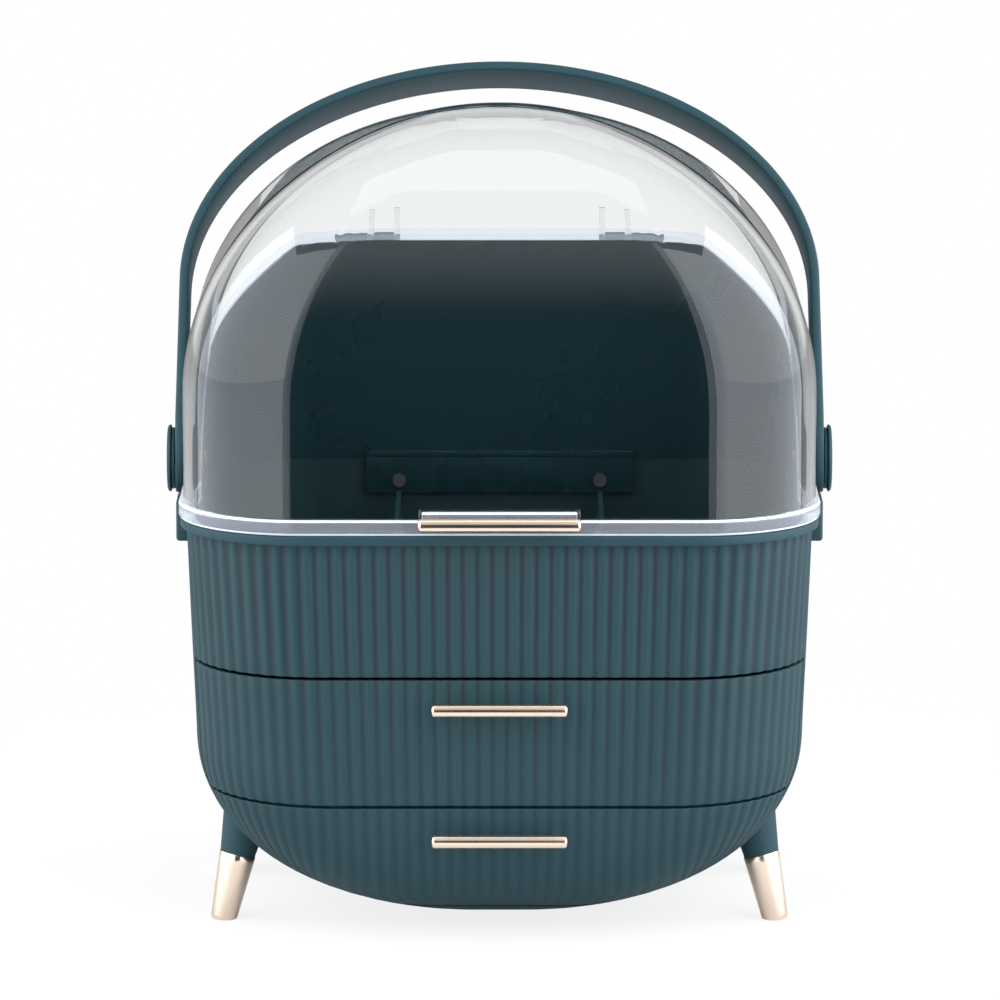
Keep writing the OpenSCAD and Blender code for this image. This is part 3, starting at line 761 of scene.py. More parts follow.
def edge_rows(z_low: float, z_high: float, step: float, soft: float = 0.5) -> list[WallRow]:
    """Rows of an outer face between two heights, with softened edges at both ends."""
    count = max(2, int(round((z_high - z_low - 2 * soft) / step)))
    inner = np.linspace(z_low + soft, z_high - soft, count + 1)
    turn = [(0.0, 1.0), (0.13, 0.4), (0.45, 0.1)]
    rows = [WallRow(z_low + up * soft, inset * soft) for up, inset in turn]
    rows += [WallRow(float(z), 0.0) for z in inner]
    rows += [WallRow(z_high - up * soft, inset * soft) for up, inset in reversed(turn)]
    return rows


def outward_of(z: float, shares: Array) -> Array:
    """Outward directions of the plain body at one height, for shares of the girth."""
    section = BOWL.section(z)
    spot = section.point(shares)
    rise = BOWL.section(z + 0.5).point(shares) - BOWL.section(max(z - 0.5, BOWL.base_z + 0.1)).point(shares)
    plan = np.stack(
        [
            np.sign(spot[:, 0]) * np.maximum(np.abs(spot[:, 0]) - (section.half_w - section.radius), 0.0),
            np.sign(spot[:, 1]) * np.maximum(np.abs(spot[:, 1]) - (section.half_d - section.radius), 0.0),
        ],
        axis=-1,
    )
    plan /= np.maximum(np.linalg.norm(plan, axis=-1, keepdims=True), 1e-9)
    along = np.stack([-plan[:, 1], plan[:, 0], np.zeros(len(plan))], axis=-1)
    up = np.concatenate([rise, np.ones((len(plan), 1))], axis=-1)
    normal = np.cross(along, up)
    return normal / np.maximum(np.linalg.norm(normal, axis=-1, keepdims=True), 1e-9)


class RibbedWall:
    """Moulded wall of the body between two heights, whole or open at the front or back."""

    def __init__(
        self, name: str, outer: list[WallRow], inner: list[WallRow], cut: tuple[str, float] | None
    ) -> None:
        """Keeps the rows of the wall.

        Args:
            name: Name of the piece.
            outer: Rows of the outer face, from low to high.
            inner: Rows of the inner face, from high to low.
            cut: None for a whole ring, ("front", y) for the part in front of y, ("rear", y) behind it.
        """
        self.name = name
        self.outer = outer
        self.inner = inner
        self.cut = cut
        self.reach = 0

    def columns(self, z: float, edge: float) -> tuple[Array, Array]:
        """Shares of the girth and rib coordinates of one row, held inside the cut.

        Args:
            z: Height of the row.
            edge: Share of the girth at which the cut crosses this row.

        Returns:
            The shares and the rib coordinates, of equal length.
        """
        q, u = RIBS.half_shares(z), RIBS.half_lines()
        if self.cut is None:
            return np.concatenate([q, 1.0 - q[::-1][1:-1]]), np.concatenate([u, RIBS.count - u[::-1][1:-1]])
        if self.cut[0] == "front":
            right = np.minimum(q[: self.reach], edge)
            right[-1] = edge
            shares = np.concatenate([-right[::-1][:-1], right])
        else:
            right = np.maximum(q[self.reach :], edge)
            right[0] = edge
            shares = np.concatenate([right, 1.0 - right[::-1][1:]])
        return shares, np.interp(np.minimum(np.abs(shares), 1.0 - np.abs(shares)), q, u)

    def build(self, floor: bool = False) -> bpy.types.Object:
        """Makes the wall with its rib attributes.

        Args:
            floor: Whether the first and last rows are closed by flat faces, as in a cup.

        Returns:
            The object, whose grooves are still to be pressed in.
        """
        rows = self.outer + self.inner
        sections = [BOWL.section(r.z, r.inset) for r in rows]
        edges = [0.0 for _ in rows]
        if self.cut is not None:
            edges = [s.share_at_depth(self.cut[1]) for s in sections]
            firsts = [int(np.searchsorted(RIBS.half_shares(r.z), e)) for r, e in zip(rows, edges)]
            self.reach = max(firsts) + 1 if self.cut[0] == "front" else max(min(firsts) - 1, 0)
        grid, phase, outward = [], [], []
        for k, (row, section, edge) in enumerate(zip(rows, sections, edges)):
            shares, lines = self.columns(row.z, edge)
            spots = section.point(np.mod(shares, 1.0))
            grid.append(np.concatenate([spots, np.full((len(shares), 1), row.z)], axis=-1))
            phase.append(lines)
            plain = k >= len(self.outer) or row.ribbed == 0.0
            outward.append(np.zeros((len(shares), 3)) if plain else outward_of(row.z, np.mod(shares, 1.0)))
        points = np.stack(grid)
        cols = points.shape[1]
        whole = self.cut is None
        amount = np.repeat(np.array([r.ribbed for r in rows])[:, None], cols, axis=1)
        faces = grid_faces(len(rows), cols, not floor, whole)
        if floor:
            faces.append(tuple(range(cols - 1, -1, -1)))
            last = (len(rows) - 1) * cols
            faces.append(tuple(last + i for i in range(cols)))
        if not whole:
            faces.append(tuple(j * cols for j in range(len(rows))))
            faces.append(tuple(j * cols + cols - 1 for j in range(len(rows) - 1, -1, -1)))
        mesh = mesh_from(self.name, points.reshape(-1, 3), faces)
        flat = len(rows) * cols
        for label, values in (("rib_phase", np.stack(phase)), ("rib_amount", amount)):
            held = mesh.attributes.new(label, "FLOAT", "POINT")
            held.data.foreach_set("value", values.reshape(flat).astype(np.float32))
        held = mesh.attributes.new("outward", "FLOAT_VECTOR", "POINT")
        held.data.foreach_set("vector", np.stack(outward).reshape(flat * 3).astype(np.float32))
        return finish_object(self.name, mesh)


def ribbed(rows: list[WallRow], fade: Callable[[float], float]) -> list[WallRow]:
    """The same rows with their rib strength set from their height; softened rows follow it."""
    return [WallRow(r.z, r.inset, fade(r.z)) for r in rows]


def groove(obj: bpy.types.Object, finish: bpy.types.Material) -> bpy.types.Object:
    """Presses the rib grooves into a wall, drops its helper attributes and tidies the mesh."""
    run_nodes(
        obj,
        RIBS.node_tree(),
        {"Groove Depth": RIBS.depth * MM, "Groove Sharpness": RIBS.sharpness, "Finish": finish},
    )
    for label in ("rib_phase", "rib_amount", "outward"):
        held = obj.data.attributes.get(label)
        if held is not None:
            obj.data.attributes.remove(held)
    tidy_mesh(obj.data, 50.0)
    return obj


# --- sub-assemblies --------------------------------------------------------------------------


@dataclass
class RibbedBody:
    """Top compartment, drawer fronts, fixed sides and underside of the ribbed body."""

    finishes: Finishes
    row_step: float = 3.0
    ear_radius: float = 15.5
    ear_in: float = 135.4
    ear_out: float = 136.8
    block_in: float = 132.0
    block_out: float = 140.6
    block_low: float = 157.8
    block_high: float = 176.2

    def rib_fade(self, z: float) -> float:
        """Rib strength at a height: full near the rim, softer towards the underside."""
        return float(np.interp(z, (8.0, 25.0, 60.0, 110.0, 140.0), (0.0, 0.5, 0.65, 0.8, 1.0)))

    def ear(self, side: int) -> Solid:
        """Plate round a handle pivot with the block that it stands on."""
        r, y0, z0 = self.ear_radius, CASE.pivot_y, CASE.pivot_z
        loop = [(y0 + r * math.cos(a), z0 + r * math.sin(a)) for a in np.linspace(0.0, math.pi, 28)]
        loop += [(y0 - r, self.block_high - 3.0), (y0 + r, self.block_high - 3.0)]
        low, high = sorted((side * self.block_in, side * self.block_out))
        block = round_box((low, y0 - r - 0.4, self.block_low), (high, y0 + r + 0.4, self.block_high), 1.4)
        return joined([prism("x", side * self.ear_in, side * self.ear_out, loop), block])

    def tub(self) -> bpy.types.Object:
        """Top compartment with its plain band and ears."""
        z_low = CASE.upper_split_z + CASE.line_gap / 2
        band_z = BOWL.rim_z - CASE.band_h
        outer = ribbed(edge_rows(z_low, band_z, 5.0)[:-3], self.rib_fade)
        out = -CASE.band_out
        outer += [WallRow(band_z, 0.0), WallRow(band_z, out + 0.5), WallRow(band_z + 0.15, out + 0.1)]
        outer += [WallRow(band_z + 0.5, out), WallRow(BOWL.rim_z - 0.5, out)]
        outer += [WallRow(BOWL.rim_z - 0.12, out + 0.12), WallRow(BOWL.rim_z, out + 0.5)]
        floor_z = z_low + CASE.tub_floor
        inner = [WallRow(float(z), CASE.wall) for z in np.linspace(BOWL.rim_z, floor_z + 3.0, 8)]
        inner += [WallRow(floor_z + 0.9, CASE.wall + 0.9), WallRow(floor_z, CASE.wall + 3.0)]
        piece = groove(RibbedWall("tub_wall", outer, inner, None).build(floor=True), self.finishes.green)
        verts, faces = joined([self.ear(-1), self.ear(1)])
        mesh = mesh_from("tub_ears", verts, faces)
        mesh.materials.append(self.finishes.green)
        tidy_mesh(mesh, 40.0)
        bm = bmesh.new()
        bm.from_mesh(piece.data)
        bm.from_mesh(mesh)
        bm.to_mesh(piece.data)
        bm.free()
        bpy.data.meshes.remove(mesh)
        return piece

    def wall(
        self, name: str, z_low: float, z_high: float, cut: tuple[str, float], soft: float = 0.5
    ) -> bpy.types.Object:
        """Part of the body between two heights, in front of the cut or behind it."""
        outer = ribbed(edge_rows(z_low, z_high, self.row_step, soft), self.rib_fade)
        inner = [WallRow(r.z, CASE.wall) for r in reversed(outer[3:-3:3])]
        inner = [WallRow(z_high, CASE.wall)] + inner + [WallRow(z_low, CASE.wall)]
        return groove(RibbedWall(name, outer, inner, cut).build(), self.finishes.green)

    def pan(self) -> bpy.types.Object:
        """Underside of the body."""
        low = BOWL.base_z + 0.7
        outer = [WallRow(float(z), 0.0) for z in (low, 4.8, 5.3, 6.2, 7.4, 9.0, 10.6, CASE.pan_z)]
        inner = [WallRow(CASE.pan_z, CASE.wall), WallRow(9.6, CASE.wall), WallRow(low + CASE.wall, CASE.wall)]
        outer = ribbed(outer, self.rib_fade)
        return groove(RibbedWall("bottom_dish", outer, inner, None).build(floor=True), self.finishes.green)

    def build(self) -> None:
        """Builds every piece, gives each its body, and reports it."""
        gap = CASE.line_gap / 2
        high = CASE.upper_split_z + gap
        upper = (CASE.lower_split_z + gap, CASE.upper_split_z - gap)
        lower = (CASE.pan_z + 0.4, CASE.lower_split_z - gap)
        front, rear = ("front", -CASE.front_end_y), ("rear", 0.8 - CASE.front_end_y)
        for piece, body, node in (
            (self.tub(), Body.BASE, "base_tub"),
            (self.wall("cabinet_wall", CASE.pan_z, high, rear, 0.2), Body.BASE, "cabinet_shell"),
            (self.pan(), Body.BASE, "bottom_pan"),
            (self.wall("upper_front", *upper, front), Body.UPPER, "upper_drawer_front"),
            (self.wall("lower_front", *lower, front), Body.LOWER, "lower_drawer_front"),
        ):
            settle(piece, body, Slot.PLASTIC, node)


def settle(piece: bpy.types.Object, body: Body, slot: Slot, *nodes: str) -> bpy.types.Object:
    """Makes a piece ride its body and stand for its nodes, and reports it.

    Args:
        piece: The finished piece.
        body: The body that it rides on.
        slot: The material slot that its finish belongs to; not used.
        nodes: Names of the nodes that it stands for.

    Returns:
        The same piece.
    """
    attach(piece, body.value)
    if nodes:
        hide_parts(*nodes)
    log.info("%s: rides %s, %d faces", piece.name, body.value, len(piece.data.polygons))
    return piece


@dataclass
class Parting:
    """Curve, seen from the side, along which the hood meets the back shell."""

    points: Array = field(init=False)

    def __post_init__(self) -> None:
        """Samples the curve from the hinge down to the rim."""
        rear_d = HOOD.section(CASE.hinge_z).half_d
        start = np.array([rear_d - CASE.hood_wall - 1.0, CASE.hinge_z])
        pull = (np.array([0.85 * rear_d, BOWL.rim_z + 48.0]), np.array([-CASE.hood_end_y, BOWL.rim_z + 54.0]))
        end = np.array([-CASE.hood_end_y, BOWL.rim_z])
        t = np.linspace(0.0, 1.0, 200)[:, None]
        s = 1.0 - t
        self.points = s**3 * start + 3 * s * s * t * pull[0] + 3 * s * t * t * pull[1] + t**3 * end

    def height(self, y: Array, dy: float = 0.0) -> Array:
        """Height of the curve at depths y; dy moves the curve along y."""
        order = np.argsort(self.points[:, 0])
        return np.interp(y, self.points[order, 0] + dy, self.points[order, 1])


PARTING = Parting()


def dome_shares(extra_y: Sequence[float], extra_x: Sequence[float] = (), count: int = 40) -> Array:
    """Shares of the girth for the dome, evenly laid with extra places on the sides and on the front run."""
    section = HOOD.section(HOOD.spring_z)
    run, corner, side = section.lengths
    marks = np.cumsum([run, corner, side, corner, run])
    parts = [
        np.linspace(0.0, marks[0], count // 2, endpoint=False),
        np.array(extra_x, float),
        np.linspace(marks[0], marks[1], count, endpoint=False),
        np.linspace(marks[1], marks[2], count // 2, endpoint=False),
        np.array([marks[1] + side / 2 + y for y in extra_y]),
        np.linspace(marks[2], marks[3], count, endpoint=False),
        np.linspace(marks[3], marks[4], count // 2 + 1),
    ]
    half = np.unique(np.round(np.concatenate(parts), 4)) / section.girth
    return np.concatenate([half, (1.0 - half[::-1])[1:-1]])


def dome_point(share: float, z: float, inset: float) -> Array:
    """Point of the dome at one share of the girth and one height."""
    return np.append(HOOD.section(z, inset).point(np.array([share]))[0], z)


@dataclass
class ClearHood:
    """Clear hood with its flange, gussets, hinge lugs and fins."""

    finishes: Finishes
    rows: int = 44
    lug_t: float = 2.4
    lug_at: tuple[float, float] = (44.4, 56.4)
    fin_h: float = 16.0
    gusset_h: float = 28.0
    gusset_t: float = 2.6

    def low_edge(self, share: float, inset: float) -> tuple[float, bool]:
        """Height at which a meridian of the hood starts, and whether it stands on the rim."""
        foot = CASE.hood_foot_z
        at_foot = dome_point(share, foot, inset)
        if at_foot[1] <= -CASE.hood_end_y - 0.39:
            return foot, True
        low, high = foot, HOOD.top_z - 20.0
        for _ in range(40):
            mid = (low + high) / 2
            y = dome_point(share, mid, inset)[1]
            edge = min(float(PARTING.height(np.array([y]), -0.4)[0]) + 0.4, CASE.hinge_z + 0.4)
            low, high = (low, mid) if mid > edge else (mid, high)
        return (low + high) / 2, False

    def skin(self, shares: Array, inset: float) -> Array:
        """Grid of points of one face of the dome, from its lower edge to the top."""
        top = HOOD.top_z - inset
        columns = []
        for share in shares:
            start, _ = self.low_edge(float(share), inset)
            if start < HOOD.spring_z:
                straight = np.linspace(start, HOOD.spring_z, 8)[:-1]
                turn0 = 0.0
            else:
                straight = np.array([])
                turn0 = math.asin((start - HOOD.spring_z) / (top - HOOD.spring_z))
            turns = np.linspace(turn0, math.radians(88.5), self.rows - len(straight))
            heights = np.concatenate([straight, HOOD.spring_z + (top - HOOD.spring_z) * np.sin(turns)])
            columns.append(np.array([dome_point(float(share), float(z), inset) for z in heights]))
        return np.stack(columns, axis=1)

    def shell(self) -> bpy.types.Object:
        """Clear dome with its flange as one closed moulding."""
        ys = [-8.39, -8.3, -8.0, -7.5, -6.8, -5.8, -4.5, -2.8, -1.0, 1.2, 4.0]
        edge = CASE.tab_w / 2
        shares = dome_shares(ys, (edge - 0.6, edge - 0.1, edge))
        outer = self.skin(shares, 0.0)
        inner = self.skin(shares, CASE.hood_wall)
        out = CASE.flange_out
        flange = []
        foot_row = outer[0]
        standing = np.array([self.low_edge(float(q), 0.0)[1] for q in shares])
        raised = (foot_row[:, 1] < 0.0) & (np.abs(foot_row[:, 0]) < edge - 0.05)
        high = CASE.flange_h
        steps = ((0.0, out - 0.5), (0.9, out), (high - 0.9, out), (high, out - 0.7), (high, 0.25))
        for rel, push in steps:
            row = foot_row.copy()
            for i, share in enumerate(shares):
                if standing[i]:
                    on_tab = raised[i] and rel > 2.0
                    z = CASE.hood_foot_z + rel + (CASE.tab_h - high if on_tab else 0.0)
                    stand = push + (CASE.tab_out if on_tab and push > 0.3 else 0.0)
                    base = HOOD.section(z, -stand).point(np.array([share]))[0]
                    row[i] = (base[0], base[1], z)
                else:
                    row[i] = foot_row[i] + (outer[1][i] - foot_row[i]) * 0.004 * (rel + push * 0.1)
            flange.append(row)
        upper = outer[1:].copy()
        for i in range(len(shares)):
            if standing[i]:
                z0 = CASE.hood_foot_z + (CASE.tab_h if raised[i] else CASE.flange_h) + 0.3
                share = float(shares[i])
                upper[0][i] = dome_point(share, z0, 0.0)
                for k in range(1, 6):
                    z = z0 + (outer[7][i][2] - z0) * k / 6
                    upper[k][i] = dome_point(share, z, 0.0)
        grid = np.concatenate([inner[::-1], np.stack(flange), upper])
        rows, cols = grid.shape[:2]
        faces = grid_faces(rows, cols, False, True)
        faces.append(tuple(range(cols - 1, -1, -1)))
        faces.append(tuple((rows - 1) * cols + i for i in range(cols)))
        verts, faces = joined([(grid.reshape(-1, 3), faces), *self.gussets(), *self.lugs()])
        mesh = mesh_from("clear_hood", verts, faces)
        mesh.materials.append(self.finishes.clear)
        mesh.materials.append(self.finishes.lip)
        mesh.materials.append(self.finishes.edge)
        foot = len(inner) - 1
        # Lip and flange rows take the less clear finishes, which paint bright highlight lines on the flange.
        for polygon in mesh.polygons[: (rows - 1) * cols]:
            row, col = divmod(polygon.index, cols)
            if foot <= row < foot + len(flange):
                polygon.material_index = 1 if row == foot + 2 and standing[col] else 2
            elif not standing[col] and row in (foot - 1, foot + len(flange), foot + len(flange) + 1):
                polygon.material_index = 1
        tidy_mesh(mesh, 35.0)
        return finish_object("clear_hood", mesh)

    def gussets(self) -> list[Solid]:
        """Small upright webs at the rear ends of the flange, one at each side."""
        foot = CASE.hood_foot_z
        y = -CASE.hood_end_y - 0.6
        w = HOOD.half_w
        shape = [(w - 1.0, foot), (w + 4.3, foot), (w + 4.3, foot + CASE.flange_h)]
        shape += [(w, foot + self.gusset_h), (w - 1.0, foot + self.gusset_h)]
        return [prism("y", y - self.gusset_t, y, [(side * x, z) for x, z in shape]) for side in (-1, 1)]

    def lugs(self) -> list[Solid]:
        """Hinge lugs, each with the fin that runs up the dome from it."""
        z, y, r = CASE.hinge_z, CASE.hinge_y, CASE.knuckle_r
        top = z + self.fin_h
        low_y, high_y = HOOD.section(z).half_d, HOOD.section(top).half_d
        fin = [(low_y - 1.0, z + 0.6), (y, z), (y + r - 0.6, z), (high_y + 1.5, top), (high_y - 1.0, top)]
        made = []
        for side in (-1, 1):
            for at in self.lug_at:
                low, high = sorted((side * at, side * (at + self.lug_t)))
                made += [prism("x", low, high, fin), rod(low, high, r, y, z, 0.15)]
        return made

    def build(self) -> None:
        """Builds the hood."""
        settle(self.shell(), Body.LID, Slot.CLEAR, "hood")


@dataclass
class BackShell:
    """Rear half of the upper body with the hinge knuckles."""

    finishes: Finishes
    rows: int = 26
    knuckles: tuple[tuple[float, float], ...] = ((47.1, 56.1), (59.1, 74.6))
    web_h: float = 7.0
    skirt_x: float = 60.0
    skirt_h: float = 16.0

    def high_edge(self, share: float, inset: float) -> float | None:
        """Height at which a meridian of the back shell ends, or None where it has no shell."""
        foot = BOWL.rim_z
        if dome_point(share, foot, inset)[1] <= -CASE.hood_end_y:
            return None
        low, high = foot, CASE.hinge_z
        for _ in range(40):
            mid = (low + high) / 2
            y = dome_point(share, mid, inset)[1]
            edge = float(PARTING.height(np.array([y]))[0])
            low, high = (low, mid) if mid > edge else (mid, high)
        return min((low + high) / 2, CASE.hinge_z)

    def shell(self) -> bpy.types.Object:
        """Curved wall of the back shell."""
        ys = [-7.99, -7.7, -7.2, -6.5, -5.5, -4.2, -2.6, -0.8, 1.4, 4.0]
        shares = np.array([q for q in dome_shares(ys) if self.high_edge(float(q), 0.0) is not None])
        grids = []
        for inset in (0.0, CASE.hood_wall):
            columns = []
            for q in shares:
                top = self.high_edge(float(q), 0.0) or BOWL.rim_z
                heights = BOWL.rim_z + (top - BOWL.rim_z) * np.linspace(0.0, 1.0, self.rows)
                columns.append(np.array([dome_point(float(q), float(z), inset) for z in heights]))
            grids.append(np.stack(columns, axis=1))
        grid = np.concatenate([grids[0], grids[1][::-1]])
        rows, cols = grid.shape[:2]
        faces = grid_faces(rows, cols, True, False)
        faces.append(tuple(j * cols for j in range(rows)))
        faces.append(tuple(j * cols + cols - 1 for j in range(rows - 1, -1, -1)))
        verts, faces = joined([(grid.reshape(-1, 3), faces), *self.hinge_half(), *self.skirt()])
        return object_from("back_wall", verts, faces, self.finishes.smooth_green)

    def hinge_half(self) -> list[Solid]:
        """Knuckles along the top edge, each on a short web."""
        y, z, r = CASE.hinge_y, CASE.hinge_z, CASE.knuckle_r
        root = HOOD.section(z).half_d - CASE.hood_wall + 1.0
        made = []
        for side in (-1, 1):
            for near, away in self.knuckles:
                low, high = sorted((side * near, side * away))
                web = round_box((low, root, z - self.web_h), (high, y, z - 0.2), 0.3)
                made += [rod(low, high, r, y, z, 0.2), web]
        return made

    def skirt(self) -> list[Solid]:
        """Flat tongue inside the rear wall of the top compartment, and the step that carries it."""
        x, z = self.skirt_x, BOWL.rim_z
        y = BOWL.section(z - self.skirt_h, CASE.wall).half_d - 0.2
        tongue = round_box((-x, y - 2.4, z - self.skirt_h), (x, y, z + 1.0), 0.4)
        step = round_box((-x, y - 2.4, z), (x, HOOD.half_d - CASE.hood_wall / 2, z + CASE.hood_wall), 0.4)
        return [tongue, step]

    def build(self) -> None:
        """Builds the back shell."""
        settle(self.shell(), Body.BASE, Slot.PLASTIC, "back_shell")


@dataclass
class CarryHandle:
    """Arched strap that leans back, with the knobs at its feet."""

    finishes: Finishes
    strap_w: float = 30.0
    strap_t: float = 4.0
    reach: float = 176.0
    rise: float = 100.0
    foot_half_w: float = 141.0
    arch_half_w: float = 139.8
    lean: float = 23.0
    soft: float = 0.9
    knob_r: float = 14.6
    knob_x: float = 141.2

    def strap(self) -> bpy.types.Object:
        """Strap swept along its arch, with softened long edges and round feet."""
        spring = self.reach - self.rise
        angles = np.linspace(0.0, math.pi, 97)
        path = [(self.foot_half_w, z) for z in (-15.0, -12.0, -8.0, 0.0, 15.9)]
        path += [(self.arch_half_w * math.cos(a), spring + self.rise * math.sin(a)) for a in angles]
        path += [(-x, z) for x, z in reversed(path[:5])]
        pts = np.array(path)
        tangent = np.gradient(pts, axis=0)
        tangent /= np.linalg.norm(tangent, axis=1, keepdims=True)
        inward = np.stack([-tangent[:, 1], tangent[:, 0]], axis=1)
        w, t, s = self.strap_w / 2, self.strap_t, self.soft
        ring = [(-w, s), (-w + 0.3 * s, 0.3 * s), (-w + s, 0.0), (w - s, 0.0), (w - 0.3 * s, 0.3 * s), (w, s)]
        ring += [(w, t - s), (w - 0.3 * s, t - 0.3 * s), (w - s, t)]
        ring += [(s - w, t), (0.3 * s - w, t - 0.3 * s), (-w, t - s)]
        fine = []
        for k, (x, z) in enumerate(pts):
            reach = w
            if z < 0.0:
                reach = math.sqrt(max(w * w - z * z, 0.4))
            for y, d in ring:
                edge = math.copysign(max(abs(y) - (w - reach), 0.05), y)
                fine.append((x + inward[k, 0] * d, edge, z + inward[k, 1] * d))
        n = len(ring)
        faces = grid_faces(len(pts), n, False, True)
        faces.append(tuple(range(n - 1, -1, -1)))
        faces.append(tuple((len(pts) - 1) * n + i for i in range(n)))
        verts = turned(np.array(fine), "x", -self.lean, (0.0, CASE.pivot_y, CASE.pivot_z))
        return object_from("handle_strap", verts, faces, self.finishes.green, 50.0)

    def knob(self, side: int) -> bpy.types.Object:
        """Round knob: a narrow disc, a groove and a soft-edged cap."""
        r = self.knob_r
        profile = [(0.0, 0.0), (r - 1.6, 0.0), (r - 1.2, 0.25), (r - 1.2, 1.3)]
        profile += [(r - 3.0, 1.3), (r - 3.0, 1.7)]
        profile += [(r - 0.5, 1.7), (r - 0.1, 1.9), (r, 2.2)]
        profile += [(r - 1.5 + 1.5 * math.cos(a), 2.2 + 1.2 * math.sin(a)) for a in np.linspace(0.2, 1.45, 6)]
        profile += [(r * 0.6, 3.6), (r * 0.3, 3.6), (0.0, 3.6)]
        verts, faces = lathe(profile, 96)
        verts = turned(verts, "y", 90.0 * side, (side * self.knob_x, CASE.pivot_y, CASE.pivot_z))
        name = "knob_right" if side > 0 else "knob_left"
        return object_from(name, verts, faces, self.finishes.green, 30.0)

    def build(self) -> None:
        """Builds the strap and both knobs."""
        settle(self.strap(), Body.HANDLE, Slot.PLASTIC, "carry_handle")
        for side, word in ((-1, "left"), (1, "right")):
            settle(self.knob(side), Body.BASE, Slot.PLASTIC, f"pivot_disc_{word}", f"pivot_cap_{word}")


@dataclass
class PullBar:
    """Gold bar with softened ends on two posts."""

    name: str
    length: float
    face_y: float
    z: float
    finishes: Finishes
    height: float = 5.8
    gap: float = 5.2
    end_r: float = 1.2
    post_r: float = 2.0

    def bar(self) -> Solid:
        """Bar along X with a small round at the edge of each end."""
        r, e = self.height / 2, self.end_r
        half = self.length / 2
        turns = np.linspace(0.05, math.pi / 2, 7)
        rounds = [(r - e + e * math.sin(a), half - e + e * math.cos(a)) for a in turns]
        profile = [(0.0, -half), (r - e, -half)] + [(x, -z) for x, z in rounds]
        profile += [(r, z) for z in np.linspace(e - half, half - e, 6)[1:-1]]
        profile += rounds[::-1] + [(r - e, half), (0.0, half)]
        verts, faces = lathe(profile, 48)
        return turned(verts, "y", 90.0, (0.0, self.face_y - self.gap - r, self.z)), faces

    def post(self, x: float) -> Solid:
        """Post between the bar and the face, let a little into both."""
        deep = self.gap + self.height / 2
        profile = [(0.0, -0.6), (self.post_r, -0.6), (self.post_r, deep - 0.5), (0.0, deep)]
        verts, faces = lathe(profile, 32)
        return turned(verts, "x", 90.0, (x, self.face_y, self.z)), faces

    def build(self, body: Body, node: str) -> None:
        """Builds the pull and gives it its body and node."""
        post_x = self.length / 2 - 6.0
        verts, faces = joined([self.bar(), self.post(-post_x), self.post(post_x)])
        settle(object_from(self.name, verts, faces, self.finishes.gold), body, Slot.GOLD, node)


@dataclass
class Leg:
    """Splayed leg: a green cone cut to the body, on a gold ferrule."""

    side: int
    end: int
    finishes: Finishes
    seat_z: float = 38.5
    seat_y: float = 42.8
    splay: float = 12.3
    seat_out: float = 0.7
    rake: float = 5.0
    ferrule_l: float = 28.8
    foot_r: float = 5.65
    joint_r: float = 7.9
    top_r: float = 12.2
    length: float = 34.0

    def placed(self, verts: Array) -> Array:
        """Points of the leg's own frame, turned and moved to its foot."""
        seat_x = BOWL.section(self.seat_z).half_w + self.seat_out
        foot_x = seat_x + self.seat_z * math.tan(math.radians(self.splay))
        foot_y = self.seat_y + self.seat_z * math.tan(math.radians(self.rake))
        verts = turned(verts, "y", -self.side * self.splay, (0.0, 0.0, 0.0))
        return turned(verts, "x", self.end * self.rake, (self.side * foot_x, self.end * foot_y, 0.0))

    def cone(self) -> bpy.types.Object:
        """Green upper part, each line of it stopped just inside the body's surface."""
        steps, rows = 64, 14
        angles = np.linspace(0.0, 2 * math.pi, steps, endpoint=False)
        low_r = self.joint_r - 0.3
        lines = []
        for a in angles:
            def spot(t: float, angle: float = float(a)) -> Array:
                """Point of one line of the cone at share t of its length."""
                r = low_r + (self.top_r - low_r) * t
                own = np.array([[r * math.cos(angle), r * math.sin(angle), self.ferrule_l + self.length * t]])
                return self.placed(own)[0]

            low, high = 0.0, 1.0
            if BOWL.holds(*spot(high), inset=0.6):
                for _ in range(30):
                    mid = (low + high) / 2
                    low, high = (low, mid) if BOWL.holds(*spot(mid), inset=0.6) else (mid, high)
            lines.append([spot(float(t)) for t in np.linspace(0.0, high, rows)])
        grid = np.array(lines).transpose(1, 0, 2)
        ends = self.placed(np.array([[0.0, 0.0, self.ferrule_l]]))
        top = grid[-1].mean(axis=0, keepdims=True)
        verts = np.concatenate([grid.reshape(-1, 3), ends, top])
        faces = grid_faces(rows, steps, False, True)
        base = rows * steps
        for i in range(steps):
            h = (i + 1) % steps
            faces.append((base, h, i))
            faces.append((base + 1, (rows - 1) * steps + i, (rows - 1) * steps + h))
        return object_from(f"cone_{self.place}", verts, faces, self.finishes.green)

    def ferrule(self) -> bpy.types.Object:
        """Gold end with a soft foot cut flat on the floor."""
        r = self.foot_r
        profile = [(0.0, -2.0)]
        turns = np.linspace(-math.pi / 2 + 0.05, 0.0, 10)
        profile += [(r - 3.0 + 3.0 * math.cos(a), 1.0 + 3.0 * math.sin(a)) for a in turns]
        for t in np.linspace(0.0, 1.0, 10)[1:]:
            profile.append((r + (self.joint_r - r) * t, 1.0 + (self.ferrule_l - 1.3) * t))
        profile += [(self.joint_r - 0.15, self.ferrule_l), (0.0, self.ferrule_l)]
        verts, faces = lathe(profile, 64)
        verts = self.placed(verts)
        verts[:, 2] = np.maximum(verts[:, 2], 0.0)
        return object_from(f"ferrule_{self.place}", verts, faces, self.finishes.gold)

    @property
    def place(self) -> str:
        """Words for the corner at which the leg stands."""
        return f"{'rear' if self.end > 0 else 'front'}_{'right' if self.side > 0 else 'left'}"

    def build(self) -> None:
        """Builds both parts of the leg."""
        settle(self.cone(), Body.BASE, Slot.PLASTIC, f"leg_{self.place}")
        settle(self.ferrule(), Body.BASE, Slot.GOLD, f"ferrule_{self.place}")


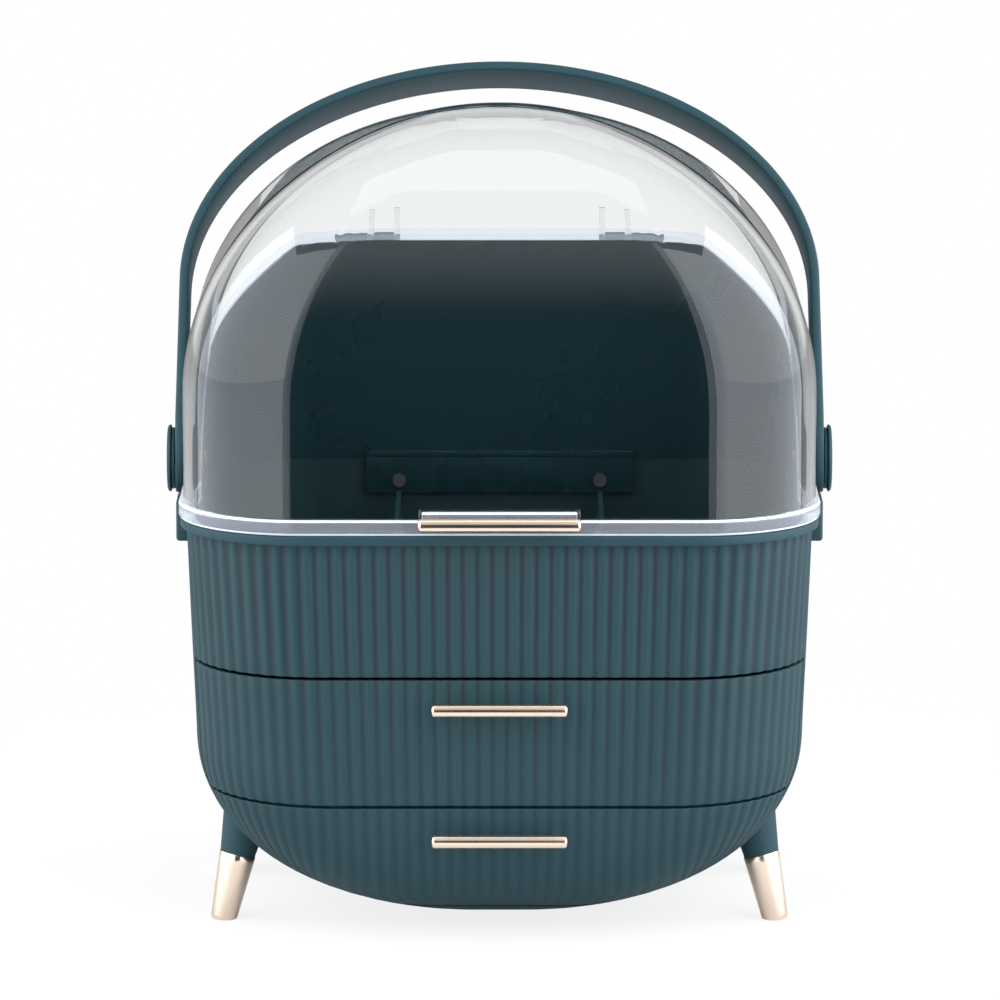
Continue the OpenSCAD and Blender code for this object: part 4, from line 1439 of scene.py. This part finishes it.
@dataclass
class CarriedParts:
    """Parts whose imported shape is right: they keep it and get a better finish."""

    finishes: Finishes

    def build(self) -> None:
        """Gives each part its finish."""
        steel = [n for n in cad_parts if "screws" in n or n.startswith(("hinge_pin", "pivot_pin"))]
        green = ["divider_shelf", "upper_drawer_tray", "lower_drawer_tray", "partition"]
        for names, finish in ((steel, self.finishes.steel), (green, self.finishes.smooth_green)):
            for name in names:
                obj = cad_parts[name]
                for slot in obj.material_slots:
                    slot.material = finish
                log.info("%s: keeps its shape, finish %s", name, finish.name)


# --- studio ----------------------------------------------------------------------------------


@dataclass
class Studio:
    """Pale floor, soft lights, surroundings and the camera."""

    camera_height: float = 0.7
    camera_back: float = 3.0
    pitch: float = 9.74
    lens: float = 252.04
    dark_turn: float = 6.0
    dark_half: float = 22.0
    world_level: float = 0.5
    mirror_level: float = 0.75
    shadow_share: float = 0.18
    box_radiance: tuple[float, float] = (2.75, 3.4)
    box_tint: tuple[float, float, float] = (0.94, 0.98, 1.05)
    box_reach: float = 0.87
    box_size: tuple[float, float] = (0.72, 1.3)
    box_turns: tuple[float, float] = (45.0, 90.0)
    fill_turn: float = 19.5
    fill_w: float = 0.09
    fill_share: float = 0.42
    top_size: tuple[float, float] = (1.2, 1.0)
    top_radiance: float = 1.2

    def camera(self) -> None:
        """Camera at the photograph's viewing angle."""
        data = bpy.data.cameras.new("view")
        data.lens = self.lens
        data.sensor_width = 36.0
        data.shift_x = 0.0005
        data.shift_y = -0.0218
        data.clip_end = 50.0
        obj = bpy.data.objects.new("view", data)
        obj.location = (0.0, -self.camera_back + CASE.frame_y * MM, self.camera_height)
        obj.rotation_euler = (math.radians(90.0 - self.pitch), 0.0, 0.0)
        bpy.context.scene.collection.objects.link(obj)
        bpy.context.scene.camera = obj

    def seen(self, wires: Wiring) -> tuple[Socket, Socket]:
        """Masks of what the camera sees straight or through something clear, and of what it sees mirrored."""
        path = wires.node("ShaderNodeLightPath").outputs
        spread = wires.maths("LESS_THAN", path["Diffuse Depth"], 0.5)
        bounced = wires.maths("GREATER_THAN", path["Glossy Depth"], 0.5)
        straight = wires.maths("LESS_THAN", path["Glossy Depth"], 0.5)
        through = wires.product(path["Is Transmission Ray"], spread, straight)
        direct = wires.maths("MAXIMUM", path["Is Camera Ray"], through)
        mirrored = wires.maths("MAXIMUM", path["Is Glossy Ray"], wires.product(bounced, spread))
        return direct, mirrored

    def sector(self, wires: Wiring, x: Socket, y: Socket) -> Socket:
        """1 inside the dark sector in front of the object and 0 outside it."""
        turn = wires.maths("ARCTAN2", x, wires.product(y, -1.0))
        off = wires.maths("ABSOLUTE", wires.maths("SUBTRACT", turn, math.radians(self.dark_turn)))
        return wires.ramp(off, math.radians(self.dark_half + 5.0), math.radians(self.dark_half - 2.0))

    def floor(self) -> None:
        """Wide pale floor that shows white to the camera and keeps the shadow."""
        mesh = bpy.data.meshes.new("floor")
        mesh.from_pydata([(-8, -8, 0), (8, -8, 0), (8, 8, 0), (-8, 8, 0)], [], [(0, 1, 2, 3)])
        obj = finish_object("floor", mesh)
        made = NodeMaterial("pale_floor")
        x, y, _ = made.axes("Object")
        reach = made.maths("SQRT", made.maths("ADD", made.product(x, x), made.product(y, y)))
        dark = made.product(self.sector(made, x, y), made.ramp(reach, 0.34, 0.5))
        noise = made.node("ShaderNodeTexNoise", {"Scale": 3.0}).outputs["Fac"]
        tone = made.mixed(noise, (0.72, 0.72, 0.72, 1.0), (0.69, 0.69, 0.69, 1.0))
        made.put(Base_Color=made.mixed(dark, tone, (0.03, 0.03, 0.03, 1.0)))
        made.put(Roughness=0.9, Specular_IOR_Level=0.0)
        pale = made.node("ShaderNodeBsdfDiffuse", {"Color": (0.9, 0.9, 0.9, 1.0)}).outputs[0]
        white = made.node("ShaderNodeEmission").outputs[0]
        away = made.ramp(reach, 0.16, 0.5)
        lit = made.maths("MULTIPLY_ADD", away, self.shadow_share, 1.0 - self.shadow_share)
        keep = made.blended(lit, pale, white)
        made.show(made.blended(self.seen(made)[0], made.shader.outputs[0], keep))
        mesh.materials.append(made.material)

    def surroundings(self) -> None:
        """World that is white to the camera, pale above the object and dark low down in front of it."""
        world = bpy.data.worlds.new("studio")
        bpy.context.scene.world = world
        world.use_nodes = True
        wires = Wiring(world.node_tree)
        wires.tree.nodes.clear()
        x, y, z = wires.axes("Generated")
        dark = wires.product(self.sector(wires, x, y), wires.ramp(z, 0.8, 0.2))
        direct, mirrored = self.seen(wires)
        level = wires.maths("MULTIPLY_ADD", mirrored, self.mirror_level - self.world_level, self.world_level)
        light = wires.product(level, wires.maths("MULTIPLY_ADD", dark, -0.97, 1.0))
        pale = (1.0, 1.0, 1.0, 1.0)
        soft = wires.node("ShaderNodeBackground", {"Color": pale, "Strength": light}).outputs[0]
        white = wires.node("ShaderNodeBackground", {"Color": pale, "Strength": 1.0}).outputs[0]
        wires.node("ShaderNodeOutputWorld", {"Surface": wires.blended(direct, soft, white)})

    def lamp(
        self, name: str, place: Sequence[float], aim: Sequence[float], size: tuple[float, float], power: float
    ) -> None:
        """One rectangular soft box aimed at a point."""
        data = bpy.data.lights.new(name, "AREA")
        data.shape = "RECTANGLE"
        data.size, data.size_y = size
        data.energy = power
        data.color = self.box_tint
        obj = bpy.data.objects.new(name, data)
        obj.location = place
        obj.rotation_euler = (Vector(aim) - Vector(place)).to_track_quat("-Z", "Y").to_euler()
        obj.visible_camera = False
        obj.visible_transmission = False
        bpy.context.scene.collection.objects.link(obj)

    def build(self) -> None:
        """Builds the studio."""
        bpy.context.scene.view_settings.view_transform = "Standard"
        self.camera()
        self.floor()
        self.surroundings()
        tall = self.box_size[1]
        for side, radiance in zip((-1, 1), self.box_radiance):
            word = "left" if side < 0 else "right"
            boxes = [(f"box_{turn:.0f}", turn, self.box_size[0], 1.0) for turn in self.box_turns]
            boxes.append(("fill", self.fill_turn, self.fill_w, self.fill_share))
            for label, turn, wide, share in boxes:
                a = math.radians(turn)
                reach = self.box_reach
                spot = (side * reach * math.sin(a), -reach * math.cos(a), tall / 2 + 0.005)
                power = share * radiance * math.pi * wide * tall
                self.lamp(f"{word}_{label}", spot, (0.0, 0.0, spot[2]), (wide, tall), power)
        power = self.top_radiance * math.pi * self.top_size[0] * self.top_size[1]
        self.lamp("top_box", (0.0, 0.1, 1.9), (0.0, 0.0, 0.0), self.top_size, power)


def main() -> None:
    """Builds the whole case in order."""
    finishes = Finishes()
    RibbedBody(finishes).build()
    BackShell(finishes).build()
    ClearHood(finishes).build()
    CarryHandle(finishes).build()
    hood_face = -HOOD.half_d - CASE.flange_out - CASE.tab_out
    upper_z, lower_z, hood_z = 104.4, 47.6, CASE.hood_foot_z + CASE.flange_h - 0.6
    for name, length, face, z, body, node in (
        ("upper_bar", 57.5, -BOWL.section(upper_z).half_d, upper_z, Body.UPPER, "upper_pull"),
        ("lower_bar", 57.5, -BOWL.section(lower_z).half_d, lower_z, Body.LOWER, "lower_pull"),
        ("hood_bar", 68.4, hood_face, hood_z, Body.LID, "hood_pull"),
    ):
        PullBar(name, length, face, z, finishes).build(body, node)
    for side in (-1, 1):
        for end in (-1, 1):
            Leg(side, end, finishes).build()
    CarriedParts(finishes).build()
    Studio().build()


if __name__ == "__main__":
    main()
